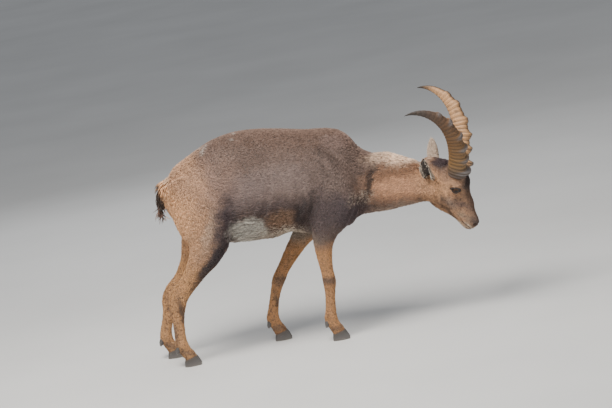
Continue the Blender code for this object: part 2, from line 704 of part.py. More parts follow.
def horn_form(name, sign, rows=40, sides=10):
    """One horn: swept back in an arc, broad in front, with knobs across its front face."""
    muzzle, left, forehead = (head_direction(1, 0, 0), head_direction(0, 1, 0), head_direction(0, 0, 1))
    place = head_point(HORN_ROOT[0], sign * HORN_ROOT[1], HORN_ROOT[2])
    rings = []
    for i in range(rows + 1):
        s = i / rows
        angle = HORN_START + HORN_SWEEP * s ** HORN_CURL
        way = muzzle * math.cos(angle) + forehead * math.sin(angle)
        way = (way * math.cos(HORN_SPREAD) + left * sign * math.sin(HORN_SPREAD)).normalized()
        front = left.cross(way).normalized()
        if front.dot(forehead * math.cos(angle) * -1.0 + muzzle * math.sin(angle)) < 0.0:
            front = -front
        side = way.cross(front).normalized() * sign
        size = 1.02 - s ** HORN_TAPER + 0.07 * math.exp(-(s / 0.07) ** 2)
        knob = 0.0
        for at in KNOB_PLACES:
            knob += math.exp(-((s - at) * HORN_LENGTH / KNOB_REACH) ** 2) * (1.0 - 0.45 * at)
        ripple = RING_HEIGHT * math.sin(2.0 * math.pi * RING_COUNT * s) * (1.0 - s)
        ring = []
        for k in range(sides):
            turn = 2.0 * math.pi * k / sides
            c, sn = math.cos(turn), math.sin(turn)
            deep = (HORN_HALF_DEPTH * size + ripple)
            wide = (HORN_HALF_WIDTH * size + ripple) * (1.0 + 0.16 * sn)
            across = math.copysign(abs(c) ** 0.85, c) * wide
            along = math.copysign(abs(sn) ** 0.85, sn) * deep
            along += knob * KNOB_HEIGHT * size ** 0.5 * max(sn, 0.0) ** 0.7
            across += knob * 0.0028 * c * (0.3 + 0.7 * max(sn, 0.0)) * size
            ring.append(place + side * across + front * along)
        rings.append(ring)
        place = place + way * HORN_LENGTH / rows
    return loft(name, rings)


def ear_form(side, sign, rows=10, across=6):
    """One ear: a leaf-shaped cup, narrow at its root, open towards the front and the side."""
    root = head_point(EAR_ROOT[0], sign * EAR_ROOT[1], EAR_ROOT[2])
    along, open_to = EAR_WAY[side], EAR_MOUTH[side]
    way = head_direction(along[0], sign * along[1], along[2])
    mouth = head_direction(open_to[0], sign * open_to[1], open_to[2])
    mouth = (mouth - mouth.dot(way) * way).normalized()
    edge = way.cross(mouth).normalized()
    rings = []
    for i in range(rows + 1):
        u = i / rows
        if u < 0.5:
            leaf = 0.42 + 0.58 * math.sin(math.pi * (u / 0.92) ** 0.85)
        else:
            leaf = math.sin(math.pi * (0.5 + 0.5 * ((u - 0.5) / 0.5) ** 1.25)) ** 0.72
        width = max(EAR_HALF_WIDTH * leaf, 0.0022)
        cup = width * (1.25 - 0.65 * u)
        middle = root + way * EAR_LENGTH * u + mouth * (0.010 * math.sin(math.pi * u) - 0.006)
        inner, outer = [], []
        for k in range(across):
            v = -1.0 + 2.0 * k / (across - 1)
            wall = EAR_WALL * (1.35 - 0.55 * u) * (1.0 - 0.72 * abs(v) ** 3)
            across_way = edge * width * math.sin(v * 1.35) / math.sin(1.35)
            point = middle + across_way + mouth * cup * abs(v) ** 2.2
            slope = (edge + mouth * cup / width * 2.2 * abs(v) ** 1.2 * math.copysign(1.0, v)).normalized()
            square = way.cross(slope).normalized()
            if square.dot(mouth) > 0.0:
                square = -square
            inner.append(point - square * wall * 0.5)
            outer.append(point + square * wall * 0.5)
        rings.append(inner + outer[::-1])
    return loft("ear_" + side, rings)


def eye_frame(sign):
    """Middle of the eye and its directions: outwards, along the lids, up."""
    middle = head_point(EYE_PLACE[0], sign * EYE_PLACE[1], EYE_PLACE[2])
    out = head_direction(0.16, sign, 0.14)
    along = head_direction(0.68, 0.0, 0.73)
    along = (along - along.dot(out) * out).normalized()
    up = head_direction(-0.73, 0.0, 0.68)
    up = (up - up.dot(out) * out - up.dot(along) * along).normalized()
    return middle, out, along, up


def lid_form(sign, count=26, sides=6):
    """The rim of both lids about one eye."""
    middle, out, along, up = eye_frame(sign)
    line = []
    for k in range(count):
        turn = 2.0 * math.pi * k / count
        a = LID_HALF_LENGTH * math.cos(turn)
        b = LID_HALF_HEIGHT * math.copysign(abs(math.sin(turn)) ** 1.25, math.sin(turn))
        b *= 1.12 if b > 0.0 else 0.95
        far = a * a + b * b
        line.append(middle + along * a + up * b + out * (EYE_RADIUS + 0.0006 - far * 23.0))
    rings = []
    for k in range(count):
        way = (line[(k + 1) % count] - line[k - 1]).normalized()
        outer = (line[k] - middle - out * (line[k] - middle).dot(out)).normalized()
        outer = (outer - outer.dot(way) * way).normalized()
        other = way.cross(outer)
        thick = LID_THICKNESS * (1.15 if (line[k] - middle).dot(up) > 0.0 else 0.9)
        rings.append([line[k] + outer * thick * math.cos(2 * math.pi * j / sides)
                      + other * thick * math.sin(2 * math.pi * j / sides) for j in range(sides)])
    points = [p for ring in rings for p in ring]
    faces = []
    for k in range(count):
        for j in range(sides):
            a, b = k * sides + j, k * sides + (j + 1) % sides
            c, d = ((k + 1) % count) * sides + (j + 1) % sides, ((k + 1) % count) * sides + j
            faces.append((a, b, c, d))
    return faced("lid", points, faces)


def claw_form(name, foot, sign, sides=12):
    """One claw of a hoof: flat sole on the floor, rounded toe, sloping coronet."""
    x, y, back = FEET[foot]
    rings = []
    for height, rear, toe, wide in ((0.0, 0.46, 0.50, 0.95), (0.10, 0.48, 0.53, 1.0),
                                    (0.50, 0.455, 0.43, 0.97), (1.0, 0.41, 0.28, 0.88)):
        ring = []
        for k in range(sides):
            turn = 2.0 * math.pi * k / sides
            c, s = math.cos(turn), math.sin(turn)
            along = c * CLAW_LENGTH * (toe if c > 0.0 else rear)
            across = math.copysign(abs(s) ** 0.8, s) * CLAW_HALF_WIDTH * wide
            if c > 0.2:
                across = across * (1.0 - 0.30 * (c - 0.2)) - 0.10 * CLAW_HALF_WIDTH * (c - 0.2)
            lift = height * (CLAW_HEIGHT + 0.30 * (along - 0.28 * CLAW_LENGTH))
            offset = CLAW_SPLIT * 0.5 + CLAW_HALF_WIDTH + across
            ring.append(floor_point(x + along, y + sign * offset, lift))
        rings.append(ring)
    return loft(name, rings)


def coronet(foot):
    """A place on the top of a hoof and the direction square to it."""
    x, y, back = FEET[foot]
    slope = math.atan(0.30)
    place = floor_point(x + 0.28 * CLAW_LENGTH, y, CLAW_HEIGHT)
    return place, Vector((-math.sin(slope), 0.0, math.cos(slope)))


def dewclaw_form(name, foot, sign):
    """One dewclaw behind the fetlock."""
    x, y, back = FEET[foot]
    turn = Matrix.Rotation(math.radians(68.0), 3, "Y")
    place = floor_point(back + 0.002, y + sign * 0.0125, 0.062)
    return ball(name, place, (DEWCLAW_LENGTH * 0.5, DEWCLAW_RADIUS * 0.86, DEWCLAW_RADIUS), turn, 7, 5)


def mouth_cutter():
    """A thin bent sheet that cuts the line of the mouth into the lips."""
    points = []
    for x, z, half in ((0.219, -0.0285, 0.0006), (0.232, -0.0250, 0.0010), (0.246, -0.0205, 0.0010),
                       (0.275, -0.0120, 0.0010)):
        for y in (-0.05, 0.05):
            points.append(head_point(x, y, z + half))
            points.append(head_point(x, y, z - half))
    faces = [(0, 1, 3, 2), (12, 13, 15, 14)]
    for i in range(3):
        a, b = 4 * i, 4 * i + 4
        faces += [(a, a + 2, b + 2, b), (a + 1, a + 3, b + 3, b + 1), (a, a + 1, b + 1, b),
                  (a + 2, a + 3, b + 3, b + 2)]
    sheet = faced("mouth", points, faces)
    core = ball("core", head_point(0.2180, 0.0, -0.022), (0.0420, 0.0235, 0.028), head_turn())
    boolean(sheet, core, "DIFFERENCE")
    drop(core)
    return sheet


def lock(root, way, out, size, lift=LOCK_LIFT):
    """One flat, tapered lock of hair: sunk at its root, lying along the hide and bending back to it."""
    length, width, thick = size
    out = out.normalized()
    way = (way - way.dot(out) * out).normalized()
    side = way.cross(out)
    rings = []
    for share, wide in ((0.0, 0.80), (0.38, 1.0), (0.74, 0.66), (1.0, 0.06)):
        rise = thick * -0.9 + length * lift * math.sin(share * 2.2)
        point = root + way * length * (share - 0.08) + out * rise
        ring = []
        for across, up in ((-1.0, 0.0), (0.0, 1.0), (1.0, 0.0), (0.0, -1.0)):
            ring.append(point + side * across * width * wide + out * up * thick * (0.3 + 0.7 * wide))
        rings.append(ring)
    return loft("lock", rings)


def fuse(target, pieces):
    """Join closed pieces to a part by one union, and keep its largest closed surface."""
    group = bpy.data.collections.new("locks")
    bpy.context.scene.collection.children.link(group)
    for piece in pieces:
        group.objects.link(piece)
    step = target.modifiers.new("union", "BOOLEAN")
    step.operation = "UNION"
    step.operand_type = "COLLECTION"
    step.solver = "MANIFOLD"
    step.collection = group
    apply_modifiers(target)
    for piece in pieces:
        drop(piece)
    bpy.data.collections.remove(group)
    return tidy_solid(target)


def surface_tree(target):
    """A search tree of a part's surface."""
    work = bmesh.new()
    work.from_mesh(target.data)
    tree = BVHTree.FromBMesh(work)
    work.free()
    return tree


def varied(size, rng):
    """A lock's size, a little longer or shorter."""
    return (size[0] * rng.uniform(0.82, 1.15), size[1] * rng.uniform(0.9, 1.1), size[2])


def add_crest(neck):
    """Locks of the nape crest, lying back along the top of the neck."""
    rng = random.Random(COAT_SEED)
    tree = surface_tree(neck)
    down = PITCH @ Vector((0.0, 0.0, -1.0))
    pieces = []
    for i in range(CREST_LOCKS):
        x = CREST_SPAN[0] + (CREST_SPAN[1] - CREST_SPAN[0]) * i / (CREST_LOCKS - 1)
        y = (0.014, -0.014, 0.000)[i % 3] + rng.uniform(-0.002, 0.002)
        place, normal, index, far = tree.ray_cast(trunk_point(x, y, 0.30), down)
        way = PITCH @ Vector((-1.0, y * 14.0, 0.0))
        pieces.append(lock(place, way, normal, varied(CREST_SIZE, rng)))
    return fuse(neck, pieces)


def add_belly_coat(torso):
    """Longer locks of the belly and of the moulting lower flank, swept back, and the sheath's tuft."""
    rng = random.Random(COAT_SEED + 1)
    tree = surface_tree(torso)
    up = PITCH @ Vector((0.0, 0.0, 1.0))
    pieces = []
    for y, count in BELLY_ROWS:
        for i in range(count):
            x = BELLY_SPAN[0] + (BELLY_SPAN[1] - BELLY_SPAN[0]) * (i + 0.4 * (abs(y) < 0.07)) / (count - 0.5)
            start = trunk_point(x, y + rng.uniform(-0.006, 0.006), -0.40)
            place, normal, index, far = tree.ray_cast(start, up)
            pieces.append(lock(place, PITCH @ Vector((-1.0, 0.0, -0.2)), normal, varied(BELLY_SIZE, rng)))
    for sign in SIDE.values():
        for z, count in FLANK_ROWS:
            for i in range(count):
                x = FLANK_SPAN[0] + (FLANK_SPAN[1] - FLANK_SPAN[0]) * (i + 0.5 * (count == 2)) / (count - 0.6)
                start = trunk_point(x, sign * 0.30, z + rng.uniform(-0.004, 0.004))
                place, normal, index, far = tree.ray_cast(start, Vector((0.0, -sign, 0.0)))
                way = PITCH @ Vector((-1.0, 0.0, -0.55))
                pieces.append(lock(place, way, normal, varied(FLANK_SIZE, rng)))
    for x, y in ((0.0, -0.008), (0.0, 0.008), (0.011, 0.0)):
        place, normal, index, far = tree.ray_cast(trunk_point(SHEATH_X + x, y, -0.40), up)
        pieces.append(lock(place, Vector((0.25, y * 12.0, -1.0)), Vector((1.0, 0.0, 0.2)), SHEATH_SIZE, 0.0))
    return fuse(torso, pieces)


def add_tail_coat(tail):
    """Locks of the tail, longer than its core, hanging to a brush."""
    rng = random.Random(COAT_SEED + 2)
    pieces = []
    rows = curve_rows(TAIL, 4)
    for i in range(TAIL_LOCKS):
        around = GOLDEN_ANGLE * i
        level = int((0.34 + 0.58 * i / (TAIL_LOCKS - 1)) * (len(rows) - 3))
        row, below = rows[level], rows[level + 2]
        way = floor_point(*below[:3]) - floor_point(*row[:3])
        out = Vector((math.cos(around), math.sin(around), 0.12))
        out = (out - out.project(way)).normalized()
        edge = Vector((out.x * row[4], out.y * row[3], 0.0))
        pieces.append(lock(floor_point(*row[:3]) + edge, way, out, varied(TAIL_SIZE, rng)))
    return fuse(tail, pieces)


def build():
    """Make every part of the ibex."""
    for thing in list(bpy.data.objects):
        bpy.data.objects.remove(thing)
    skin = build_skin()
    parts = {}

    # head first, then neck and legs, are parted from the trunk
    cut = trunk_point(0.846, 0.0, 0.0)
    way = (PITCH @ Vector((0.975, 0.02, -0.22)))
    parts["head"] = part_off(skin, half_space(cut, way), "head")
    cut = trunk_point(0.590, 0.0, 0.0)
    way = (PITCH @ Vector((1.0, 0.0, 0.10)))
    parts["neck"] = part_off(skin, half_space(cut, way), "neck")
    for side, sign in SIDE.items():
        for kind, outline, inner, knee, tilt in (
                ("fore", FORE_OUTLINE[side], 0.034, FORELEG[side][9], 0.0),
                ("hind", HIND_OUTLINE[side], 0.034, HIND_LEG[side][7], -0.55)):
            leg = part_off(skin, side_prism(outline, inner, 0.30, sign), kind + "_upper_leg_" + side)
            place = floor_point(knee[0], sign * knee[1], knee[2])
            lower = part_off(leg, half_space(place, Vector((tilt, 0.0, -1.0))), kind + "_lower_leg_" + side)
            foot = kind + "_" + side
            top, up = coronet(foot)
            block = half_space(top + up * GAP, -up)
            boolean(lower, block, "DIFFERENCE")
            drop(block)
            parts[kind + "_upper_leg_" + side] = leg
            parts[kind + "_lower_leg_" + side] = lower
            wider = grown(tidy_solid(lower), GAP, "wider")
            for name, turn in (("outer", sign), ("inner", -sign)):
                claw = claw_form(foot + "_claw_" + name, foot, turn)
                parts[claw.name] = claw
                dew = dewclaw_form(foot + "_dewclaw_" + name, foot, turn)
                boolean(dew, wider, "DIFFERENCE")
                parts[dew.name] = dew
            drop(wider)
    parts["torso"] = add_belly_coat(tidy_solid(skin))
    add_crest(tidy_solid(parts["neck"]))

    # lids, nostrils and mouth
    head = parts["head"]
    for side, sign in SIDE.items():
        lid = lid_form(sign)
        boolean(head, lid, "UNION")
        drop(lid)
    tidy_solid(head)
    for side, sign in SIDE.items():
        middle, out, along, up = eye_frame(sign)
        axes = Matrix((out, along, up)).transposed()
        parts["eye_" + side] = ball("eye_" + side, middle, (EYE_RADIUS,) * 3, axes, 14, 8)
        socket = ball("socket", middle, (EYE_RADIUS + GAP + 0.0002,) * 3, axes, 14, 8)
        boolean(head, socket, "DIFFERENCE")
        drop(socket)
        axes = Matrix((head_direction(0.85, sign * 0.2, 0.45), head_direction(-0.25, sign, 0.0),
                       head_direction(-0.45, 0.0, 0.85)))
        hole = ball("nostril", head_point(0.2570, sign * 0.0190, 0.0070), (0.0105, 0.0060, 0.0046),
                    axes.transposed(), 10, 7)
        boolean(head, hole, "DIFFERENCE")
        drop(hole)
    sheet = mouth_cutter()
    boolean(head, sheet, "DIFFERENCE")
    drop(sheet)
    tidy_solid(head)

    wider = grown(head, GAP, "wider")
    for side, sign in SIDE.items():
        horn = horn_form("horn_" + side, sign)
        boolean(horn, wider, "DIFFERENCE")
        parts[horn.name] = horn
        ear = ear_form(side, sign)
        boolean(ear, wider, "DIFFERENCE", "MANIFOLD")
        parts[ear.name] = ear
    drop(wider)
    wider = grown(parts["neck"], GAP, "wider")
    for side in SIDE:
        boolean(parts["ear_" + side], wider, "DIFFERENCE", "MANIFOLD")
    drop(wider)

    tail = add_tail_coat(limb_loft("tail", TAIL, 1.0, sides=10, steps=2))
    wider = grown(skin, GAP, "wider")
    boolean(tail, wider, "DIFFERENCE")
    drop(wider)
    parts["tail"] = tail

    finish(parts)


def finish(parts):
    """Clean every part, give it its own material, and hang it on one empty in the ibex's collection."""
    collection = bpy.data.collections.new("alpine_ibex")
    bpy.context.scene.collection.children.link(collection)
    stance = bpy.data.objects.new("stance", None)
    collection.objects.link(stance)
    total = 0
    for name, part in sorted(parts.items()):
        tidy_solid(part)
        part.name = name
        for holder in list(part.users_collection):
            holder.objects.unlink(part)
        collection.objects.link(part)
        part.parent = stance
        kind = next((word for word in COLOURS if word in name), "hide")
        material = bpy.data.materials.new(name)
        material.use_nodes = True
        shader = material.node_tree.nodes["Principled BSDF"]
        shader.inputs["Base Color"].default_value = (*COLOURS[kind], 1.0)
        shader.inputs["Roughness"].default_value = ROUGHNESS[kind]
        part.data.materials.clear()
        part.data.materials.append(material)
        total += len(part.data.polygons)
    print("parts", len(parts), "triangles", total)


build()
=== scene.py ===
# %% [markdown]
# # A young alpine ibex, dressed
#
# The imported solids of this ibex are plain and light. This lesson dresses them: one finer skin over the
# whole body, a coat of about 176 thousand small tufts, ringed horns, wet eyes, cupped ears and
# hooves with a grown surface. Everything is made by rule, from named sizes and named markings.
#
# ## The frame
#
# A visual model has to sit exactly where the solids are, because the solids carry its weight and its
# contacts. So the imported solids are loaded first, and their box is kept to compare with at the end.

# %% Load the frame
import math
import time

import bmesh
import bpy
import numpy as np
from mathutils import Matrix, Vector


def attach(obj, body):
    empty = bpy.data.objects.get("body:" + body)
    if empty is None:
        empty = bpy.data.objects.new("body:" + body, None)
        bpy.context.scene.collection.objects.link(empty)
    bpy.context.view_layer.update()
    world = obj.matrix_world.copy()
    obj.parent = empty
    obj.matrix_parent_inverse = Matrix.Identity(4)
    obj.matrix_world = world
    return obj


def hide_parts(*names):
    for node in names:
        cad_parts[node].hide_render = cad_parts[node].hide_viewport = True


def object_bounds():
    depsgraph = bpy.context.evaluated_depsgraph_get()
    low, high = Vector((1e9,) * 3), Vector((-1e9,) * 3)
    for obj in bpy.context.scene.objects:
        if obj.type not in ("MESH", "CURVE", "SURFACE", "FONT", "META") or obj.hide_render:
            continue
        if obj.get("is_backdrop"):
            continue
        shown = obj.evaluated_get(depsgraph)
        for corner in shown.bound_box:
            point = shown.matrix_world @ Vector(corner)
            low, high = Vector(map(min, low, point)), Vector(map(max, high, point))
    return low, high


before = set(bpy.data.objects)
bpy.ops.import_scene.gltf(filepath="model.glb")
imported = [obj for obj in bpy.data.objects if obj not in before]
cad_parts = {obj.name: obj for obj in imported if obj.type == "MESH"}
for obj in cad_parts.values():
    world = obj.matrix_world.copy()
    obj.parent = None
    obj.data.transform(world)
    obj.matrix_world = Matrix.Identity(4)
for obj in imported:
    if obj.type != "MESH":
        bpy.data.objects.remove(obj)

START = time.time()
CAD_BOX = [list(corner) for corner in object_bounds()]
print("solids:", len(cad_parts), "box:", [round(v, 3) for corner in CAD_BOX for v in corner])

# %% [markdown]
# ## Named places
#
# An animal is easier to model level than grazing. The trunk is described in a frame of its own, whose
# origin lies between the hips, and the head in another with x from the poll to the muzzle. Two small
# functions turn such a place into the model, so that every later table can be read on the body.

# %% Trunk frame, head frame and floor
HIP_HEIGHT = 0.618
TRUNK_PITCH = math.radians(10.0)
MIDDLE_X = 0.3928
MIDDLE_Y = -0.0154
HEAD_ORIGIN = (0.868, 0.0, 0.0805)
HEAD_DOWN = math.radians(60.0)
HEAD_LEFT = (0.185, 0.965, 0.177)
PITCH = Matrix.Rotation(TRUNK_PITCH, 3, "Y")


def trunk_point(x, y, z):
    """A place of the trunk frame, in the model."""
    return PITCH @ Vector((x, y, z)) + Vector((-MIDDLE_X, -MIDDLE_Y, HIP_HEIGHT))


def square_to(way, axis):
    """The part of a direction that is square to another one."""
    return (way - way.dot(axis) * axis).normalized()


def head_axes():
    """The head's axes in the trunk frame: muzzle, left, forehead."""
    left = Vector(HEAD_LEFT).normalized()
    muzzle = square_to(Vector((math.cos(HEAD_DOWN), 0.0, -math.sin(HEAD_DOWN))), left)
    return muzzle, left, muzzle.cross(left)


def head_point(x, y, z):
    """A place of the head frame, in the model."""
    muzzle, left, forehead = head_axes()
    return trunk_point(*(Vector(HEAD_ORIGIN) + x * muzzle + y * left + z * forehead))


def head_direction(x, y, z):
    """A direction of the head frame, in the model."""
    return (head_point(x, y, z) - head_point(0.0, 0.0, 0.0)).normalized()


def floor_point(x, y, z):
    """A place measured along the floor from below the hips."""
    return Vector((x - MIDDLE_X, y - MIDDLE_Y, z))


def on_side(place, sign):
    """A place or direction on the left, or its mirror on the right where sign is -1."""
    return place[0], sign * place[1], place[2]


HEAD_TURN = Matrix((head_direction(1, 0, 0), head_direction(0, 1, 0), head_direction(0, 0, 1))).transposed()
SIDE = {"left": 1.0, "right": -1.0}
print("poll at", [round(v, 3) for v in head_point(0, 0, 0)], "muzzle at",
      [round(v, 3) for v in head_point(0.26, 0, 0)])

# %% [markdown]
# ## The camera, floor and light
#
# The camera comes early, so that every later piece can be judged in the right view. It stands nine
# metres off with a long lens, which flattens depth as a wildlife lens does, looks slightly down, and is
# rolled a little, because the hillside tilts the animal in the picture.
#
# Light for fur has to be soft, or the tufts glitter. A pale sky gives most of it, one large panel above
# gives the back its brightness and two weaker ones open the shadows.

# %% Camera
CAMERA_AZIMUTH, CAMERA_ELEVATION, CAMERA_ROLL = math.radians(1.0), math.radians(10.0), math.radians(-10.0)
CAMERA_DISTANCE, VIEW_WIDTH, SENSOR_WIDTH = 9.0, 2.142, 36.0
CAMERA_TARGET = Vector((0.3884 - MIDDLE_X, -0.0072 - MIDDLE_Y, 0.482))


def new_object(name, data):
    """An object in the scene."""
    made = bpy.data.objects.new(name, data)
    bpy.context.scene.collection.objects.link(made)
    return made


look = Vector((-math.sin(CAMERA_AZIMUTH) * math.cos(CAMERA_ELEVATION),
               math.cos(CAMERA_AZIMUTH) * math.cos(CAMERA_ELEVATION), -math.sin(CAMERA_ELEVATION)))
lens = bpy.data.cameras.new("camera")
camera = new_object("camera", lens)
camera.rotation_euler = (look.to_track_quat("-Z", "Y").to_matrix()
                         @ Matrix.Rotation(CAMERA_ROLL, 3, "Z")).to_euler()
camera.location = CAMERA_TARGET - look * CAMERA_DISTANCE
lens.sensor_width = SENSOR_WIDTH
lens.lens = SENSOR_WIDTH * CAMERA_DISTANCE / VIEW_WIDTH
lens.clip_end = 400.0
bpy.context.scene.camera = camera
print("lens", round(lens.lens, 1), "mm")

# %% Floor and light
FLOOR_RADIUS = 150.0


def mesh_object(work, name):
    """An object of a bmesh, with smooth faces; the bmesh ends here."""
    for face in work.faces:
        face.smooth = True
    mesh = bpy.data.meshes.new(name)
    work.to_mesh(mesh)
    work.free()
    return new_object(name, mesh)


def add_panel(name, place, size, power, colour=(1.0, 1.0, 1.0)):
    """A soft square light panel, aimed at the animal's middle."""
    light = bpy.data.lights.new(name, "AREA")
    light.shape, light.size, light.energy, light.color = "SQUARE", size, power, colour
    panel = new_object(name, light)
    panel.location = place
    panel.rotation_euler = (Vector((0.0, 0.0, 0.4)) - Vector(place)).to_track_quat("-Z", "Y").to_euler()


work = bmesh.new()
bmesh.ops.create_circle(work, cap_ends=True, segments=96, radius=FLOOR_RADIUS)
floor = mesh_object(work, "floor")
floor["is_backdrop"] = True
add_panel("sky_panel", (-0.9, -1.6, 3.6), 2.0, 255.0, (1.0, 0.96, 0.9))
add_panel("front_panel", (3.0, -2.2, 1.6), 2.0, 22.0)
add_panel("far_panel", (-0.8, 3.4, 2.2), 2.4, 30.0, (0.95, 0.97, 1.0))
world = bpy.data.worlds.new("pale_room")
world.use_nodes = True
sky = world.node_tree.nodes["Background"]
sky.inputs["Color"].default_value = (0.8, 0.83, 0.88, 1.0)
sky.inputs["Strength"].default_value = 0.42
bpy.context.scene.world = world

# %% [markdown]
# ## Wires: node trees written as sums
#
# Shader and geometry trees are graphs of sockets, and writing them link by link hides the idea. The
# class below wraps one socket. Adding or multiplying two wires adds a Math node, and one method, node,
# makes every other kind: it takes the type, its settings, and the values or wires of its sockets.

# %% The Wire class
class Wire:
    """One output socket of a node tree, with arithmetic."""

    def __init__(self, tree, socket=None):
        self.tree, self.socket = tree, socket

    def node(self, kind, settings=None, values=None, output=0):
        """Add a node: its settings first, then the values or wires of its sockets."""
        made = self.tree.nodes.new(kind)
        for name, value in (settings or {}).items():
            if name == "stops":
                ramp = made.color_ramp.elements
                while len(ramp) < len(value):
                    ramp.new(0.5)
                for stop, (place, colour) in zip(ramp, value):
                    stop.position = place
                    stop.color = (*colour, 1.0)
            else:
                setattr(made, name, value)
        for name, value in (values or {}).items():
            if isinstance(value, Wire):
                self.tree.links.new(value.socket, made.inputs[name])
            else:
                made.inputs[name].default_value = value
        return Wire(self.tree, made.outputs[output])

    def other(self, output):
        """Another output of the node that this wire comes from."""
        return Wire(self.tree, self.socket.node.outputs[output])

    def calc(self, operation, a, b=None):
        """One Math node."""
        return self.node("ShaderNodeMath", {"operation": operation}, {0: a} if b is None else {0: a, 1: b})

    def __add__(self, other): return self.calc("ADD", self, other)
    def __radd__(self, other): return self.calc("ADD", other, self)
    def __sub__(self, other): return self.calc("SUBTRACT", self, other)
    def __rsub__(self, other): return self.calc("SUBTRACT", other, self)
    def __mul__(self, other): return self.calc("MULTIPLY", self, other)
    def __rmul__(self, other): return self.calc("MULTIPLY", other, self)
    def __truediv__(self, other): return self.calc("DIVIDE", self, other)
    def __pow__(self, other): return self.calc("POWER", self, other)

    def wave(self): return self.calc("SINE", self)
    def size(self): return self.calc("ABSOLUTE", self)

    def step(self, start, end, low=0.0, high=1.0):
        """A smooth change from low to high while this wire goes from start to end."""
        return self.node("ShaderNodeMapRange", {"interpolation_type": "SMOOTHSTEP"},
                         {"Value": self, "From Min": start, "From Max": end, "To Min": low, "To Max": high})

    def shift(self, operation, other):
        """Vector maths."""
        return self.node("ShaderNodeVectorMath", {"operation": operation}, {0: self, 1: other})

    def tint(self, colour, share):
        """This colour, changed towards another by a share."""
        return self.node("ShaderNodeMix", {"data_type": "RGBA"},
                         {0: share, 6: self, 7: (*colour, 1.0)}, output=2)

    def between(self, low, high):
        """A colour that goes from low to high as this wire goes from 0 to 1."""
        return self.node("ShaderNodeMix", {"data_type": "RGBA"},
                         {0: self, 6: (*low, 1.0), 7: (*high, 1.0)}, output=2)

    def ramp(self, *stops):
        """A colour from stops, each a position and a colour."""
        return self.node("ShaderNodeValToRGB", {"stops": stops}, {"Fac": self})

    def grey(self):
        """This value in all three channels."""
        return self.node("ShaderNodeCombineXYZ", {}, {0: self, 1: self, 2: self})

    def place(self):
        """The place in the model."""
        return self.node("ShaderNodeTexCoord", output=3)

    def value(self, name):
        """A number that the mesh carries."""
        return self.node("ShaderNodeAttribute", {"attribute_name": name}, output=2)

    def noise(self, scale, detail, rough=0.5, output=0):
        """Noise at the places of this wire."""
        return self.node("ShaderNodeTexNoise", {}, {"Vector": self, "Scale": scale, "Detail": detail,
                                                    "Roughness": rough}, output)

    def relief(self, strength, depth):
        """A bump with this wire as its height."""
        return self.node("ShaderNodeBump", {}, {"Height": self, "Strength": strength, "Distance": depth})


def new_material(name):
    """An empty material: its name, the wire to start from and the shader."""
    material = bpy.data.materials.new(name)
    material.use_nodes = True
    return material, Wire(material.node_tree), material.node_tree.nodes["Principled BSDF"]


def feed(shader, **links):
    """Link wires to the shader's sockets; underscores stand for spaces."""
    for name, wire in links.items():
        wire.tree.links.new(wire.socket, shader.inputs[name.replace("_", " ")])


def fix(shader, **values):
    """Set numbers that are the same all over on the shader itself."""
    for name, value in values.items():
        shader.inputs[name.replace("_", " ")].default_value = value


pale, wire, shader = new_material("pale_floor")
feed(shader, Base_Color=wire.place().noise(1.1, 3.0).ramp((0.3, (0.6, 0.6, 0.59)), (0.7, (0.66, 0.66, 0.65))))
fix(shader, Roughness=0.85)
floor.data.materials.append(pale)
print("floor material has", len(pale.node_tree.nodes), "nodes")

# %% [markdown]
# ## The form under the coat
#
# A body could be sculpted by hand, but then no number of it could be named. Here it is lofted: each row
# of a table is one section, and a smooth curve runs through the rows. Trunk, neck, skull and legs are
# separate closed forms that overlap, as clay is built up before it is smoothed.
#
# The rows of the trunk hold x, top, bottom, half width and the height of the widest level. The rows of
# a leg hold x, y, z, half width and the half depths forward and backward, from the top down.

# %% Sections of the trunk, neck, skull and legs
# Trunk: x, top, bottom, half width, height of the widest level
TRUNK = (
    (-0.096, -0.002, -0.04, 0.022, -0.02),
    (-0.082, 0.028, -0.085, 0.056, -0.02),
    (-0.053, 0.066, -0.125, 0.084, -0.015),
    (0.0, 0.108, -0.15, 0.104, 0.0),
    (0.04, 0.137, -0.17, 0.116, 0.005),
    (0.079, 0.161, -0.188, 0.126, 0.0),
    (0.145, 0.186, -0.2026, 0.138, -0.015),
    (0.22, 0.198, -0.198, 0.147, -0.025),
    (0.302, 0.2, -0.182, 0.147, -0.025),
    (0.352, 0.199, -0.1665, 0.142, -0.02),
    (0.401, 0.198, -0.169, 0.133, -0.015),
    (0.45, 0.201, -0.173, 0.12, -0.01),
    (0.484, 0.202, -0.174, 0.108, -0.005),
    (0.525, 0.194, -0.166, 0.094, 0.0),
    (0.566, 0.164, -0.133, 0.078, 0.005),
    (0.6, 0.12, -0.095, 0.055, 0.005),
)

# Neck: x, top, bottom, half width, height of the widest level
NECK = (
    (0.5, 0.185, -0.12, 0.08, 0.01),
    (0.53, 0.186, -0.146, 0.082, 0.005),
    (0.566, 0.158, -0.133, 0.078, 0.0),
    (0.603, 0.13, -0.107, 0.071, 0.0),
    (0.64, 0.1165, -0.099, 0.064, 0.0),
    (0.699, 0.118, -0.09, 0.058, 0.01),
    (0.764, 0.099, -0.073, 0.0535, 0.01),
    (0.814, 0.08, -0.06, 0.051, 0.005),
    (0.85, 0.067, -0.058, 0.049, 0.0),
    (0.88, 0.048, -0.045, 0.042, 0.0),
)

